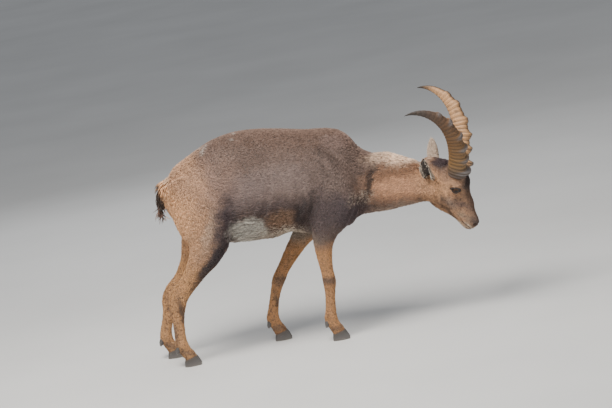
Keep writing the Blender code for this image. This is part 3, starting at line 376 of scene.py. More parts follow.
# Skull, in the head frame: x, top, bottom, half width, height of the widest level
SKULL = (
    (-0.028, -0.018, -0.066, 0.032, -0.04),
    (-0.01, 0.004, -0.08, 0.042, -0.036),
    (0.008, 0.026, -0.09, 0.047, -0.03),
    (0.03, 0.046, -0.095, 0.0495, -0.024),
    (0.058, 0.061, -0.1, 0.0515, -0.017),
    (0.085, 0.069, -0.103, 0.0525, -0.006),
    (0.112, 0.064, -0.101, 0.0515, 0.004),
    (0.132, 0.0515, -0.095, 0.047, 0.002),
    (0.152, 0.043, -0.085, 0.041, -0.008),
    (0.185, 0.0365, -0.0625, 0.0335, -0.014),
    (0.212, 0.027, -0.0505, 0.0295, -0.012),
    (0.234, 0.0232, -0.0455, 0.0285, -0.01),
    (0.249, 0.0215, -0.0415, 0.0265, -0.009),
    (0.26, 0.0175, -0.0355, 0.0215, -0.008),
    (0.267, 0.009, -0.026, 0.0125, -0.007),
)

# Legs, from the top down: x, y, z, half width, half depth forward, half depth backward
FORELEG = {
    "right": (
        (0.47, 0.062, 0.69, 0.02, 0.025, 0.03),
        (0.478, 0.078, 0.64, 0.028, 0.045, 0.05),
        (0.492, 0.09, 0.57, 0.036, 0.062, 0.07),
        (0.5, 0.094, 0.5, 0.04, 0.066, 0.082),
        (0.478, 0.092, 0.44, 0.042, 0.058, 0.078),
        (0.446, 0.086, 0.395, 0.038, 0.044, 0.056),
        (0.428, 0.082, 0.35, 0.031, 0.034, 0.038),
        (0.422, 0.079, 0.3, 0.0255, 0.027, 0.028),
        (0.421, 0.077, 0.25, 0.0215, 0.023, 0.0215),
        (0.422, 0.076, 0.213, 0.0235, 0.025, 0.0215),
        (0.42, 0.076, 0.185, 0.0205, 0.021, 0.019),
        (0.417, 0.076, 0.15, 0.0165, 0.017, 0.018),
        (0.412, 0.076, 0.108, 0.0175, 0.018, 0.02),
        (0.408, 0.076, 0.078, 0.0235, 0.0215, 0.024),
        (0.415, 0.076, 0.054, 0.023, 0.02, 0.0215),
        (0.424, 0.076, 0.036, 0.024, 0.0215, 0.023),
        (0.428, 0.076, 0.02, 0.0225, 0.0205, 0.021),
    ),
    "left": (
        (0.462, 0.062, 0.69, 0.02, 0.025, 0.03),
        (0.468, 0.078, 0.64, 0.028, 0.045, 0.05),
        (0.48, 0.09, 0.57, 0.036, 0.062, 0.07),
        (0.486, 0.094, 0.5, 0.04, 0.066, 0.08),
        (0.45, 0.092, 0.44, 0.042, 0.058, 0.076),
        (0.392, 0.086, 0.39, 0.038, 0.046, 0.054),
        (0.348, 0.082, 0.348, 0.031, 0.034, 0.038),
        (0.306, 0.079, 0.3, 0.0255, 0.027, 0.028),
        (0.269, 0.077, 0.254, 0.0215, 0.023, 0.0215),
        (0.245, 0.076, 0.219, 0.0235, 0.025, 0.0215),
        (0.233, 0.076, 0.192, 0.0205, 0.021, 0.019),
        (0.22, 0.076, 0.153, 0.0165, 0.017, 0.018),
        (0.208, 0.076, 0.11, 0.0175, 0.018, 0.02),
        (0.202, 0.076, 0.079, 0.0235, 0.0215, 0.024),
        (0.21, 0.076, 0.054, 0.023, 0.02, 0.0215),
        (0.219, 0.076, 0.036, 0.024, 0.0215, 0.023),
        (0.223, 0.076, 0.02, 0.0225, 0.0205, 0.021),
    ),
}
HIND_LEG = {
    "right": (
        (-0.02, 0.062, 0.655, 0.035, 0.06, 0.05),
        (-0.008, 0.08, 0.61, 0.044, 0.092, 0.078),
        (0.012, 0.092, 0.55, 0.048, 0.106, 0.092),
        (0.026, 0.098, 0.49, 0.047, 0.104, 0.09),
        (0.03, 0.102, 0.435, 0.042, 0.084, 0.078),
        (0.01, 0.102, 0.385, 0.035, 0.062, 0.054),
        (-0.026, 0.098, 0.338, 0.028, 0.044, 0.036),
        (-0.064, 0.094, 0.292, 0.0225, 0.034, 0.03),
        (-0.098, 0.09, 0.252, 0.0225, 0.031, 0.034),
        (-0.112, 0.088, 0.218, 0.0225, 0.029, 0.032),
        (-0.118, 0.087, 0.18, 0.0195, 0.0225, 0.024),
        (-0.121, 0.086, 0.14, 0.0175, 0.019, 0.0205),
        (-0.123, 0.086, 0.102, 0.019, 0.0195, 0.0215),
        (-0.122, 0.086, 0.076, 0.0235, 0.0215, 0.024),
        (-0.113, 0.086, 0.053, 0.0225, 0.02, 0.0215),
        (-0.103, 0.086, 0.036, 0.024, 0.0215, 0.0225),
        (-0.099, 0.086, 0.02, 0.0225, 0.0205, 0.021),
    ),
    "left": (
        (-0.02, 0.062, 0.655, 0.035, 0.06, 0.05),
        (-0.012, 0.08, 0.61, 0.044, 0.09, 0.078),
        (0.0, 0.092, 0.55, 0.048, 0.104, 0.092),
        (0.006, 0.098, 0.49, 0.047, 0.102, 0.088),
        (0.002, 0.102, 0.435, 0.042, 0.083, 0.076),
        (-0.026, 0.102, 0.38, 0.035, 0.062, 0.054),
        (-0.056, 0.098, 0.328, 0.028, 0.044, 0.036),
        (-0.092, 0.094, 0.276, 0.0225, 0.034, 0.03),
        (-0.128, 0.09, 0.236, 0.0225, 0.031, 0.034),
        (-0.147, 0.088, 0.205, 0.0225, 0.029, 0.032),
        (-0.158, 0.087, 0.172, 0.0195, 0.0225, 0.024),
        (-0.17, 0.086, 0.136, 0.0175, 0.019, 0.0205),
        (-0.181, 0.086, 0.102, 0.019, 0.0195, 0.0215),
        (-0.185, 0.086, 0.076, 0.0235, 0.0215, 0.024),
        (-0.179, 0.086, 0.053, 0.0225, 0.02, 0.0215),
        (-0.169, 0.086, 0.036, 0.024, 0.0215, 0.0225),
        (-0.165, 0.086, 0.02, 0.0225, 0.0205, 0.021),
    ),
}
# Feet: x and y of the middle of the hoof on the floor, x of the back of the fetlock
FEET = {
    "fore_right": (0.43, -0.076, 0.388),
    "fore_left": (0.225, 0.076, 0.182),
    "hind_right": (-0.097, -0.086, -0.142),
    "hind_left": (-0.163, 0.086, -0.208),
}
# Muscles under the hide on each side, in the trunk frame: x, y, z, radii, lean in degrees
MUSCLES = (
    (0.5, 0.076, 0.02, (0.075, 0.04, 0.12), -22.0),
    (0.545, 0.06, -0.075, (0.045, 0.036, 0.06), 0.0),
    (0.045, 0.07, -0.03, (0.1, 0.05, 0.13), 18.0),
)

# Relief on each side, in the trunk frame: a line of places, its reach and how far it is pressed or raised
SIDE_RELIEF = (
    (((0.395, 0.13, 0.06), (0.385, 0.13, -0.03), (0.372, 0.13, -0.11)), 0.034, -0.0055),
    (((0.56, 0.08, 0.11), (0.59, 0.08, 0.02), (0.6, 0.07, -0.05)), 0.03, -0.005),
    (((0.44, 0.09, 0.15), (0.5, 0.09, 0.11), (0.545, 0.09, -0.02)), 0.026, 0.0035),
    (((0.17, 0.14, 0.06), (0.15, 0.14, -0.02)), 0.06, -0.008),
    (((0.09, 0.12, 0.11), (0.11, 0.12, 0.085)), 0.034, 0.005),
    (((0.14, 0.14, -0.05), (0.148, 0.14, -0.14)), 0.028, -0.0055),
    (((0.01, 0.11, -0.06), (-0.02, 0.11, -0.15)), 0.035, -0.003),
)

# Brow, cheek, root of the horn and lip on each side, in the head frame: x, y, z, radii
SKULL_LUMPS = (
    (0.102, 0.042, 0.017, (0.026, 0.017, 0.022)),
    (0.092, 0.036, -0.046, (0.044, 0.0175, 0.036)),
    (0.071, 0.027, 0.05, (0.025, 0.022, 0.022)),
    (0.24, 0.014, 0.006, (0.015, 0.0125, 0.013)),
)

# Tail: x, y, z, half width, half depth forward, half depth backward, down to the end of its core
TAIL = (
    (-0.048, 0.0, 0.65, 0.018, 0.013, 0.013),
    (-0.078, 0.0, 0.646, 0.018, 0.013, 0.013),
    (-0.098, 0.0, 0.626, 0.016, 0.011, 0.012),
    (-0.108, 0.0, 0.596, 0.015, 0.009, 0.011),
    (-0.115, 0.0, 0.56, 0.012, 0.007, 0.008),
    (-0.12, 0.0, 0.53, 0.004, 0.003, 0.003),
)
print("sections:", len(TRUNK), "trunk,", len(NECK), "neck,", len(SKULL), "skull")

# %% Lofts
def around(sides):
    """Cosine and sine of the even turns round a ring."""
    turns = [2.0 * math.pi * k / sides for k in range(sides)]
    return [(math.cos(turn), math.sin(turn)) for turn in turns]


def fuller(value, power):
    """A power of a number that keeps its sign."""
    return math.copysign(abs(value) ** power, value)


def object_of(points, faces, name):
    """An object of points and faces, with its faces outwards."""
    work = bmesh.new()
    corners = [work.verts.new(p) for p in points]
    for face in faces:
        work.faces.new([corners[i] for i in face])
    bmesh.ops.recalc_face_normals(work, faces=work.faces)
    return mesh_object(work, name)


def loft_parts(rings):
    """Points and faces of a closed form through a row of rings."""
    count = len(rings[0])
    points = [p for ring in rings for p in ring]
    faces = []
    for row in range(len(rings) - 1):
        for k in range(count):
            a, b = row * count + k, row * count + (k + 1) % count
            faces.append((a, b, b + count, a + count))
    for ring, first in ((rings[0], 0), (rings[-1], (len(rings) - 1) * count)):
        points.append(sum((Vector(p) for p in ring), Vector()) / count)
        for k in range(count):
            faces.append((first + k, first + (k + 1) % count, len(points) - 1))
    return points, faces


def loft(rings, name):
    """A closed form through a row of rings."""
    return object_of(*loft_parts(rings), name)


def curve_rows(rows, steps):
    """Rows of numbers with smooth rows in between."""
    rows = np.array(rows, dtype=float)
    out = []
    last = len(rows) - 1
    for i in range(last):
        before, start, end, after = rows[max(i - 1, 0)], rows[i], rows[i + 1], rows[min(i + 2, last)]
        for step in range(steps):
            t = step / steps
            out.append(0.5 * (2.0 * start + (end - before) * t
                              + (2.0 * before - 5.0 * start + 4.0 * end - after) * t * t
                              + (3.0 * start - before - 3.0 * end + after) * t ** 3))
    out.append(rows[last])
    return [[float(v) for v in row] for row in out]


def upright_loft(rows, place, power_top, power_bottom, narrow, sides=48, steps=4):
    """A form through upright sections, in the frame given by place."""
    rings = []
    for x, top, bottom, width, level in curve_rows(rows, steps):
        ring = []
        for c, s in around(sides):
            power = power_top if s > 0.0 else power_bottom
            y = fuller(c, 2.0 / power) * width
            lift = fuller(s, 2.0 / power)
            if s < 0.0:
                y *= 1.0 - narrow * s * s
            ring.append(place(x, y, level + lift * ((top - level) if s > 0.0 else (level - bottom))))
        rings.append(ring)
    return loft(rings, "section")


def limb_loft(rows, sign, power=2.2, sides=28, steps=4):
    """A form along a limb, with its rings square to the way it runs."""
    fine = curve_rows(rows, steps)
    centres = [floor_point(r[0], sign * r[1], r[2]) for r in fine]
    rings = []
    for i, row in enumerate(fine):
        way = (centres[min(i + 1, len(fine) - 1)] - centres[max(i - 1, 0)]).normalized()
        side = square_to(Vector((0.0, 1.0, 0.0)), way)
        front = way.cross(side)
        rings.append([centres[i] + side * (fuller(c, 2.0 / power) * row[3])
                      + front * (fuller(s, 2.0 / power) * (row[4] if s > 0.0 else row[5]))
                      for c, s in around(sides)])
    return loft(rings, "limb")


def ball(centre, radii, turn, segments=28, rings=16):
    """An ellipsoid; turn is a 3x3 matrix of its own axes."""
    place = Matrix.Translation(centre) @ turn.to_4x4() @ Matrix.Diagonal((*radii, 1.0))
    work = bmesh.new()
    bmesh.ops.create_uvsphere(work, u_segments=segments, v_segments=rings, radius=1.0, matrix=place)
    return mesh_object(work, "ball")


def drop(thing):
    """Remove a working object and its mesh."""
    mesh = thing.data
    bpy.data.objects.remove(thing)
    bpy.data.meshes.remove(mesh)


forms = [upright_loft(TRUNK, trunk_point, 2.0, 2.15, 0.12), upright_loft(NECK, trunk_point, 2.1, 2.1, 0.1),
         upright_loft(SKULL, head_point, 2.3, 2.2, 0.34), limb_loft(TAIL, 1.0, sides=16)]
for side, sign in SIDE.items():
    forms += [limb_loft(FORELEG[side], sign), limb_loft(HIND_LEG[side], sign)]
    for x, y, z, radii, lean in MUSCLES:
        turn = PITCH @ Matrix.Rotation(math.radians(lean), 3, "Y")
        forms.append(ball(trunk_point(x, sign * y, z), radii, turn))
    forms += [ball(head_point(x, sign * y, z), radii, HEAD_TURN) for x, y, z, radii in SKULL_LUMPS]
print("forms", len(forms))

# %% [markdown]
# ## One skin
#
# Overlapping forms still show where they meet. A voxel remesh lays one even net over all of them, and a
# relaxing step lets that net settle like skin. The net is coarse on the flank, where little happens, so
# it is divided where the animal is fine: once on the legs, twice on the face, and once more about the
# eyes, nostrils and mouth.

# %% Join and remesh
SKIN_VOXEL = 0.0062


def settled(thing):
    """The mesh of an object as its modifiers leave it."""
    bpy.context.view_layer.update()
    graph = bpy.context.evaluated_depsgraph_get()
    return bpy.data.meshes.new_from_object(thing.evaluated_get(graph), depsgraph=graph)


work = bmesh.new()
for form in forms:
    work.from_mesh(form.data)
    drop(form)
skin = mesh_object(work, "skin")
net = skin.modifiers.new("even net", "REMESH")
net.mode = "VOXEL"
net.voxel_size = SKIN_VOXEL
even_mesh = settled(skin)
skin.modifiers.clear()
skin.data = even_mesh
print("faces after the remesh", len(skin.data.polygons), "seconds", round(time.time() - START, 1))

# %% Points as arrays
def arrays(mesh):
    """Points and edges of a mesh."""
    points = np.empty(len(mesh.vertices) * 3)
    mesh.vertices.foreach_get("co", points)
    edges = np.empty(len(mesh.edges) * 2, dtype=np.int64)
    mesh.edges.foreach_get("vertices", edges)
    return points.reshape(-1, 3), edges.reshape(-1, 2)


def normals(mesh):
    """The direction square to the surface at each point."""
    out = np.empty(len(mesh.vertices) * 3)
    mesh.vertices.foreach_get("normal", out)
    return out.reshape(-1, 3)


def put(mesh, points):
    """Move a mesh's points."""
    mesh.vertices.foreach_set("co", points.ravel())
    mesh.update()


def spread(values, edges):
    """The mean of each point's neighbours."""
    count = np.maximum(np.bincount(edges.ravel(), minlength=len(values)), 1)
    total = np.zeros_like(values)
    for axis in range(values.shape[1]):
        total[:, axis] = (np.bincount(edges[:, 0], values[edges[:, 1], axis], len(values))
                          + np.bincount(edges[:, 1], values[edges[:, 0], axis], len(values)))
    return total / count[:, None]


def relax(points, edges, rounds, weight=None):
    """Smooth points along their edges without shrinking the form."""
    for step in range(rounds * 2):
        move = (spread(points, edges) - points) * (0.52 if step % 2 == 0 else -0.54)
        points = points + (move if weight is None else move * weight[:, None])
    return points


def bump(far):
    """A smooth weight from 1 at no distance to 0 at distance 1."""
    return np.where(far < 1.0, (1.0 - np.clip(far, 0.0, 1.0) ** 2) ** 2, 0.0)


def near(points, centre, radius):
    """A smooth weight from 1 at a place to 0 at a distance from it."""
    return bump(np.linalg.norm(points - np.array(centre), axis=1) / radius)


def line_distance(points, a, b):
    """Distance of each point from a straight line between two places."""
    a, b = np.array(a), np.array(b)
    t = np.clip(((points - a) @ (b - a)) / max((b - a) @ (b - a), 1e-12), 0.0, 1.0)
    return np.linalg.norm(points - (a + t[:, None] * (b - a)), axis=1)


def in_head(points):
    """Places in the head's own frame."""
    return (points - np.array(head_point(0, 0, 0))) @ np.array(HEAD_TURN)


def in_trunk(points):
    """Places in the trunk's own frame."""
    return (points - np.array(trunk_point(0, 0, 0))) @ np.array(PITCH)


points, edges = arrays(skin.data)
put(skin.data, relax(points, edges, 10))
print("points", len(points))

# %% Divide the net where the animal is fine
HEAD_MIDDLE, HEAD_REACH = (0.13, 0.0, -0.01), 0.2
FINE_HEAD, FINE_HEAD_REACH, FINE_LEGS_BELOW = (0.12, 0.0, -0.01), 0.26, 0.36
# about the eye, the nostril and the corner of the mouth: place in the head frame and reach
FACE_SPOTS = ((0.113, 0.052, 0.013, 0.034), (0.256, 0.016, 0.004, 0.024), (0.246, 0.016, -0.02, 0.026))


def fine_share(points):
    """1 on the legs and the head, where the net is divided."""
    head = near(points, head_point(*FINE_HEAD), FINE_HEAD_REACH) > 0.05
    return np.where(head | (points[:, 2] < FINE_LEGS_BELOW), 1.0, 0.0)


def divide(choose, rounds):
    """Halve the faces whose points are all chosen, and relax the net where it is fine."""
    chosen = choose(arrays(skin.data)[0])
    work = bmesh.new()
    work.from_mesh(skin.data)
    work.verts.ensure_lookup_table()
    keep = [e for e in work.edges if chosen[e.verts[0].index] and chosen[e.verts[1].index]]
    bmesh.ops.subdivide_edges(work, edges=keep, cuts=1, use_grid_fill=True)
    work.to_mesh(skin.data)
    work.free()
    points, edges = arrays(skin.data)
    put(skin.data, relax(points, edges, rounds, fine_share(points)))


def on_face(points):
    """The face, from the ears forward."""
    x, y, z = in_head(points).T
    return (x > 0.05) & (np.abs(y) < 0.09) & (x < 0.32) & (z > -0.11) & (z < 0.09)


def on_face_spot(points):
    """About the eyes, the nostrils and the mouth."""
    x, y, z = in_head(points).T
    far = [np.linalg.norm(np.stack([x - spot[0], np.abs(y) - spot[1], z - spot[2]], 1), axis=1) / spot[3]
           for spot in FACE_SPOTS]
    return np.min(far, axis=0) < 1.0


divide(lambda points: fine_share(points) > 0.5, 3)
divide(on_face, 2)
divide(on_face_spot, 1)
print("faces", len(skin.data.polygons), "seconds", round(time.time() - START, 1))

# %% [markdown]
# ## Muscle, bone and the ibex's face
#
# A head is read by its small forms: the brow over the eye, the cheek bone, the hollow in front of it,
# the nostrils cut like commas, the full upper lip. Each is one press or pull of the skin about a named
# place, which is what a sculpting brush does, only that here it can be read and changed.

# %% Relief of the body
def move_side(points, line, radius, sign, depth):
    """Press or raise the side of the body along a line of trunk places."""
    weight = np.zeros(len(points))
    for a, b in zip(line[:-1], line[1:]):
        far = line_distance(points, trunk_point(*on_side(a, sign)), trunk_point(*on_side(b, sign)))
        weight = np.maximum(weight, bump(far / radius))
    points[:, 1] += sign * depth * weight


# finer than in the solids: ribs, hip bone, elbow, the hollow above the hock
FINE_RELIEF = (
    (((0.33, 0.14, 0.05), (0.3, 0.14, -0.08)), 0.016, -0.0016),
    (((0.292, 0.14, 0.055), (0.262, 0.14, -0.08)), 0.016, -0.0016),
    (((0.254, 0.14, 0.055), (0.226, 0.14, -0.07)), 0.016, -0.0016),
    (((0.312, 0.14, 0.05), (0.282, 0.14, -0.085)), 0.014, 0.0014),
    (((0.273, 0.14, 0.055), (0.244, 0.14, -0.08)), 0.014, 0.0014),
    (((0.475, 0.11, 0.12), (0.515, 0.11, 0.01)), 0.02, -0.003),
    (((0.43, 0.11, -0.04), (0.4, 0.11, -0.12)), 0.018, -0.004),
    (((0.64, 0.07, 0.02), (0.84, 0.06, -0.01)), 0.024, -0.003),
    (((0.65, 0.07, -0.03), (0.83, 0.06, -0.05)), 0.02, 0.0025),
)

points, edges = arrays(skin.data)
for sign in SIDE.values():
    for line, radius, depth in SIDE_RELIEF + FINE_RELIEF:
        move_side(points, line, radius, sign, depth)
CANNON_ROWS = (10, 12)
# the groove before the tendon and the tendon itself: how far behind, and how far the side is moved
CANNON_RELIEF = ((-0.006, -0.0026), (0.01, 0.0004))
LEG_ROWS = [(rows, SIDE[side]) for kind in (FORELEG, HIND_LEG) for side, rows in kind.items()]
for rows, sign in LEG_ROWS:
    a, b = (rows[i] for i in CANNON_ROWS)
    for shift, depth in CANNON_RELIEF:
        for side in (-1.0, 1.0):
            start = floor_point(a[0] + shift, sign * a[1] + side * a[3], a[2])
            end = floor_point(b[0] + shift, sign * b[1] + side * b[3], b[2])
            points[:, 1] += side * bump(line_distance(points, start, end) / 0.009) * depth
put(skin.data, points)
print("relief lines", 2 * len(SIDE_RELIEF + FINE_RELIEF) + 16)

# %% Relief of the face
# place in the head frame, reach, direction and depth of each press (-) or pull (+)
FACE_RELIEF = (
    ((0.15, 0.042, 0.0), 0.026, (0, 1, 0), -0.004),
    ((0.135, 0.048, -0.02), 0.02, (0, 1, 0), 0.0028),
    ((0.165, 0.036, -0.045), 0.03, (0, 1, 0), -0.0035),
    ((0.205, 0.03, -0.02), 0.024, (0, 1, 0), -0.0022),
    ((0.24, 0.026, -0.004), 0.016, (0, 1, 0.2), 0.0022),
    ((0.236, 0.022, -0.036), 0.014, (0.2, 0.6, -0.8), 0.0022),
    ((0.256, 0.0, 0.012), 0.012, (1, 0, 0.2), -0.0015),
    ((0.05, 0.03, -0.095), 0.03, (0, 0.3, -1), -0.003),
    ((0.1, 0.046, 0.034), 0.016, (0, 0.6, 1), 0.0026),
    ((0.088, 0.05, 0.01), 0.014, (0, 1, 0), -0.002),
    ((0.138, 0.046, 0.012), 0.01, (0, 1, 0), -0.0026),
    ((0.105, 0.052, -0.016), 0.012, (0, 1, 0), 0.0014),
    ((0.075, 0.048, -0.07), 0.026, (0, 1, -0.3), 0.0022),
    ((0.185, 0.016, 0.036), 0.03, (0, 0.4, 1), 0.0012),
    ((0.262, 0.0, -0.006), 0.006, (1, 0, 0), -0.0018),
    ((0.222, 0.03, -0.016), 0.012, (0, 1, 0), 0.0014),
    ((0.216, 0.027, -0.03), 0.007, (0, 1, 0), -0.0012),
)

points, edges = arrays(skin.data)
for place, radius, way, depth in FACE_RELIEF:
    for sign in SIDE.values() if place[1] else (1.0,):
        weight = near(points, head_point(*on_side(place, sign)), radius)
        points += weight[:, None] * np.array(head_direction(*on_side(way, sign))) * depth
head_zone = near(points, head_point(*HEAD_MIDDLE), HEAD_REACH)
points = relax(points, edges, 2, 1.0 - 0.6 * (head_zone > 0.1))
put(skin.data, points)
print("face moves", 2 * len(FACE_RELIEF))

# %% Eyes in their sockets
EYE_PLACE = (0.1045, 0.0445, 0.017)
EYE_RADIUS = 0.0155
LID_HALF_LENGTH = 0.0172
LID_HALF_HEIGHT = 0.0094
LID_UPPER, LID_LOWER, LID_POWER = 1.12, 0.95, 1.7


def eye_frame(sign):
    """Middle of the eye and its directions: outwards, along the lids, up."""
    middle = head_point(*on_side(EYE_PLACE, sign))
    out = head_direction(0.16, sign, 0.14)
    along = square_to(head_direction(0.68, 0.0, 0.73), out)
    up = head_direction(-0.73, 0.0, 0.68)
    return middle, out, along, (up - up.dot(out) * out - up.dot(along) * along).normalized()


def lid_share(points, sign):
    """How far each point is from the middle of the eye's opening, 1 at the edge of the lids."""
    middle, out, along, up = (np.array(v) for v in eye_frame(sign))
    rel = points - middle
    a, b = rel @ along, rel @ up
    high = np.where(b > 0.0, LID_UPPER, LID_LOWER) * LID_HALF_HEIGHT
    share = (np.abs(a / LID_HALF_LENGTH) ** LID_POWER + np.abs(b / high) ** LID_POWER) ** (1.0 / LID_POWER)
    return np.where(rel @ out > 0.0, share, 9.0)


points, edges = arrays(skin.data)
for sign in SIDE.values():
    middle, out, along, up = (np.array(v) for v in eye_frame(sign))
    share = lid_share(points, sign)
    rel = points - middle
    far = np.maximum(np.linalg.norm(rel, axis=1), 1e-6)
    lid = np.clip((share - 0.94) / 0.12, 0.0, 1.0)
    fold = EYE_RADIUS - 0.0035 + lid * (0.0035 + 0.0024) - 0.001 * bump(np.abs(share - 1.62) / 0.2)
    hold = np.clip((2.2 - share) / 0.9, 0.0, 1.0) ** 1.5
    wanted = np.where(share < 1.06, fold, np.maximum(far * (1 - hold) + fold * hold, EYE_RADIUS + 0.0016))
    wanted = np.where(share < 2.2, wanted, far)
    close = far < 0.034
    points = np.where(close[:, None], middle + rel / far[:, None] * wanted[:, None], points)
put(skin.data, points)
print("sockets", 2)

# %% Nostrils, lips and the line of the mouth
NOSTRIL = (0.2565, 0.0195, 0.006)
NOSTRIL_RADII = (0.0115, 0.0058, 0.005)
MOUTH_LINE = ((0.219, -0.0285), (0.232, -0.025), (0.246, -0.0205), (0.275, -0.012))


def nostril_share(points, sign):
    """Distance from the middle of a nostril, 1 at its rim."""
    axes = np.array(Matrix((head_direction(0.85, sign * 0.2, 0.45), head_direction(-0.25, sign, 0.0),
                            head_direction(-0.45, 0.0, 0.85))))
    rel = (points - np.array(head_point(*on_side(NOSTRIL, sign)))) @ axes.T
    rel[:, 2] += 22.0 * rel[:, 0] ** 2
    return np.linalg.norm(rel / np.array(NOSTRIL_RADII), axis=1)


def mouth_distance(points):
    """Height above the line of the mouth, and distance from it."""
    place = in_head(points)
    xs, zs = zip(*MOUTH_LINE)
    above = place[:, 2] - np.interp(place[:, 0], xs, zs)
    behind = np.clip(xs[0] - place[:, 0], 0.0, 1.0)
    return above, np.hypot(above, behind), place[:, 0] > 0.18


points, edges = arrays(skin.data)
for sign in SIDE.values():
    share = nostril_share(points, sign)
    inwards = np.array(head_direction(-0.62, -0.55 * sign, -0.3))
    points += inwards * (0.0085 * np.clip(1.25 - share, 0.0, 1.0) ** 0.8)[:, None]
    rim = bump(np.abs(share - 1.55) / 0.55)
    points -= inwards * (0.0012 * rim)[:, None]
above, far, front = mouth_distance(points)
square = normals(skin.data)
groove = np.exp(-(far / 0.0016) ** 2) * 0.0042
lips = bump(np.abs(above - 0.0052) / 0.0055) * 0.0013 + bump(np.abs(above + 0.005) / 0.005) * 0.0009
lips *= np.clip((0.018 - (far ** 2 - above ** 2).clip(0.0) ** 0.5) / 0.018, 0.0, 1.0)
points += square * (np.where(front, lips - groove, 0.0))[:, None]
put(skin.data, points)
print("mouth line of", len(MOUTH_LINE), "places")

# %% [markdown]
# ## Combing the coat
#
# Hair has a lie: it runs back from the nose, down the cheeks, along the flank and down the legs. A
# groomer would comb it in strokes. Each row of the next tables is one stroke: a place, the way the hair
# lies there, its length, the width of a tuft and how far it stands off. Between strokes the values
# blend by nearness, so a few dozen strokes comb the whole animal.

# %% Strokes of the comb
# place, lie, length, width, stand-off as a share of the length
TRUNK_STROKES = (
    ((0.5, 0.0, 0.2), (-1, 0, -0.05), 0.0135, 0.0023, 0.16),
    ((0.25, 0.0, 0.2), (-1, 0, -0.05), 0.0135, 0.0023, 0.16),
    ((0.06, 0.0, 0.145), (-1, 0, -0.5), 0.0125, 0.0022, 0.15),
    ((-0.06, 0.03, 0.05), (-0.7, 0, -1.0), 0.013, 0.0023, 0.16),
    ((-0.07, 0.06, -0.06), (-0.4, 0, -1), 0.0125, 0.0022, 0.15),
    ((0.05, 0.115, 0.03), (-0.8, 0, -0.7), 0.012, 0.0022, 0.14),
    ((0.15, 0.11, 0.12), (-1, 0, -0.3), 0.013, 0.0023, 0.15),
    ((0.33, 0.11, 0.13), (-1, 0, -0.25), 0.0135, 0.0023, 0.15),
    ((0.33, 0.147, 0.0), (-1, 0, -0.3), 0.0135, 0.0023, 0.15),
    ((0.18, 0.14, -0.02), (-0.95, 0, -0.35), 0.013, 0.0023, 0.15),
    ((0.3, 0.13, -0.11), (-1, 0, -0.3), 0.022, 0.0034, 0.26),
    ((0.38, 0.115, -0.11), (-1, 0, -0.3), 0.016, 0.0028, 0.2),
    ((0.19, 0.12, -0.12), (-1, 0, -0.15), 0.022, 0.0032, 0.22),
    ((0.32, 0.05, -0.185), (-1, 0, -0.1), 0.029, 0.004, 0.25),
    ((0.21, 0.06, -0.19), (-1, 0, -0.1), 0.028, 0.004, 0.23),
    ((0.12, 0.04, -0.2), (-1, 0, -0.2), 0.022, 0.004, 0.24),
    ((0.45, 0.0, -0.175), (-1, 0, -0.1), 0.018, 0.003, 0.2),
    ((0.48, 0.12, 0.06), (-0.75, 0, -0.7), 0.0135, 0.0023, 0.15),
    ((0.5, 0.11, -0.05), (-0.5, 0, -1.0), 0.0135, 0.0023, 0.16),
    ((0.42, 0.13, 0.04), (-0.9, 0, -0.4), 0.0135, 0.0023, 0.15),
    ((0.56, 0.04, -0.13), (-0.6, 0, -0.8), 0.019, 0.0032, 0.2),
    ((0.61, 0.06, 0.03), (-0.8, 0, -0.6), 0.015, 0.0026, 0.18),
    ((0.6, 0.05, -0.08), (-0.6, 0, -0.8), 0.017, 0.0028, 0.19),
    ((0.72, 0.06, 0.02), (-1, 0, -0.35), 0.0115, 0.0021, 0.14),
    ((0.82, 0.05, 0.01), (-1, 0, -0.25), 0.0105, 0.002, 0.14),
    ((0.64, 0.0, 0.12), (-1, 0, 0.05), 0.02, 0.003, 0.2),
    ((0.74, 0.0, 0.108), (-1, 0, 0.05), 0.022, 0.003, 0.2),
    ((0.82, 0.0, 0.078), (-1, 0, 0.02), 0.019, 0.0028, 0.19),
    ((0.72, 0.0, -0.09), (-1, 0, -0.3), 0.016, 0.0028, 0.19),
    ((0.83, 0.0, -0.06), (-1, 0, -0.3), 0.013, 0.0024, 0.18),
)
HEAD_STROKES = (
    ((0.01, 0.0, 0.028), (-1, 0, 0.05), 0.014, 0.0024, 0.28),
    ((0.0, 0.044, -0.02), (-1, 0, -0.2), 0.012, 0.0024, 0.22),
    ((0.1, 0.0, 0.068), (-1, 0, 0.1), 0.0075, 0.0018, 0.2),
    ((0.15, 0.0, 0.044), (-1, 0, 0.1), 0.0065, 0.0016, 0.18),
    ((0.2, 0.0, 0.032), (-1, 0, 0.05), 0.0055, 0.0015, 0.16),
    ((0.248, 0.0, 0.021), (-1, 0, 0.1), 0.0042, 0.0013, 0.15),
    ((0.08, 0.05, 0.01), (-1, 0, -0.05), 0.0075, 0.0018, 0.18),
    ((0.105, 0.048, -0.03), (-1, 0, -0.2), 0.0075, 0.0018, 0.18),
    ((0.06, 0.05, -0.055), (-1, 0, -0.3), 0.01, 0.0022, 0.2),
    ((0.11, 0.036, -0.085), (-1, 0, -0.2), 0.0095, 0.002, 0.22),
    ((0.17, 0.02, -0.072), (-1, 0, -0.2), 0.008, 0.0018, 0.22),
    ((0.165, 0.038, -0.02), (-1, 0, -0.25), 0.0062, 0.0016, 0.16),
    ((0.21, 0.03, -0.012), (-0.9, 0, -0.35), 0.0052, 0.0014, 0.15),
    ((0.246, 0.026, -0.012), (-0.7, 0, -0.6), 0.0042, 0.0013, 0.15),
    ((0.24, 0.012, -0.043), (-0.8, 0, -0.4), 0.0065, 0.0016, 0.2),
)
TAIL_STROKE = (0.04, 0.0036, 0.2)


def trunk_direction(x, y, z):
    """A direction of the trunk frame, in the model."""
    return (PITCH @ Vector((x, y, z))).normalized()


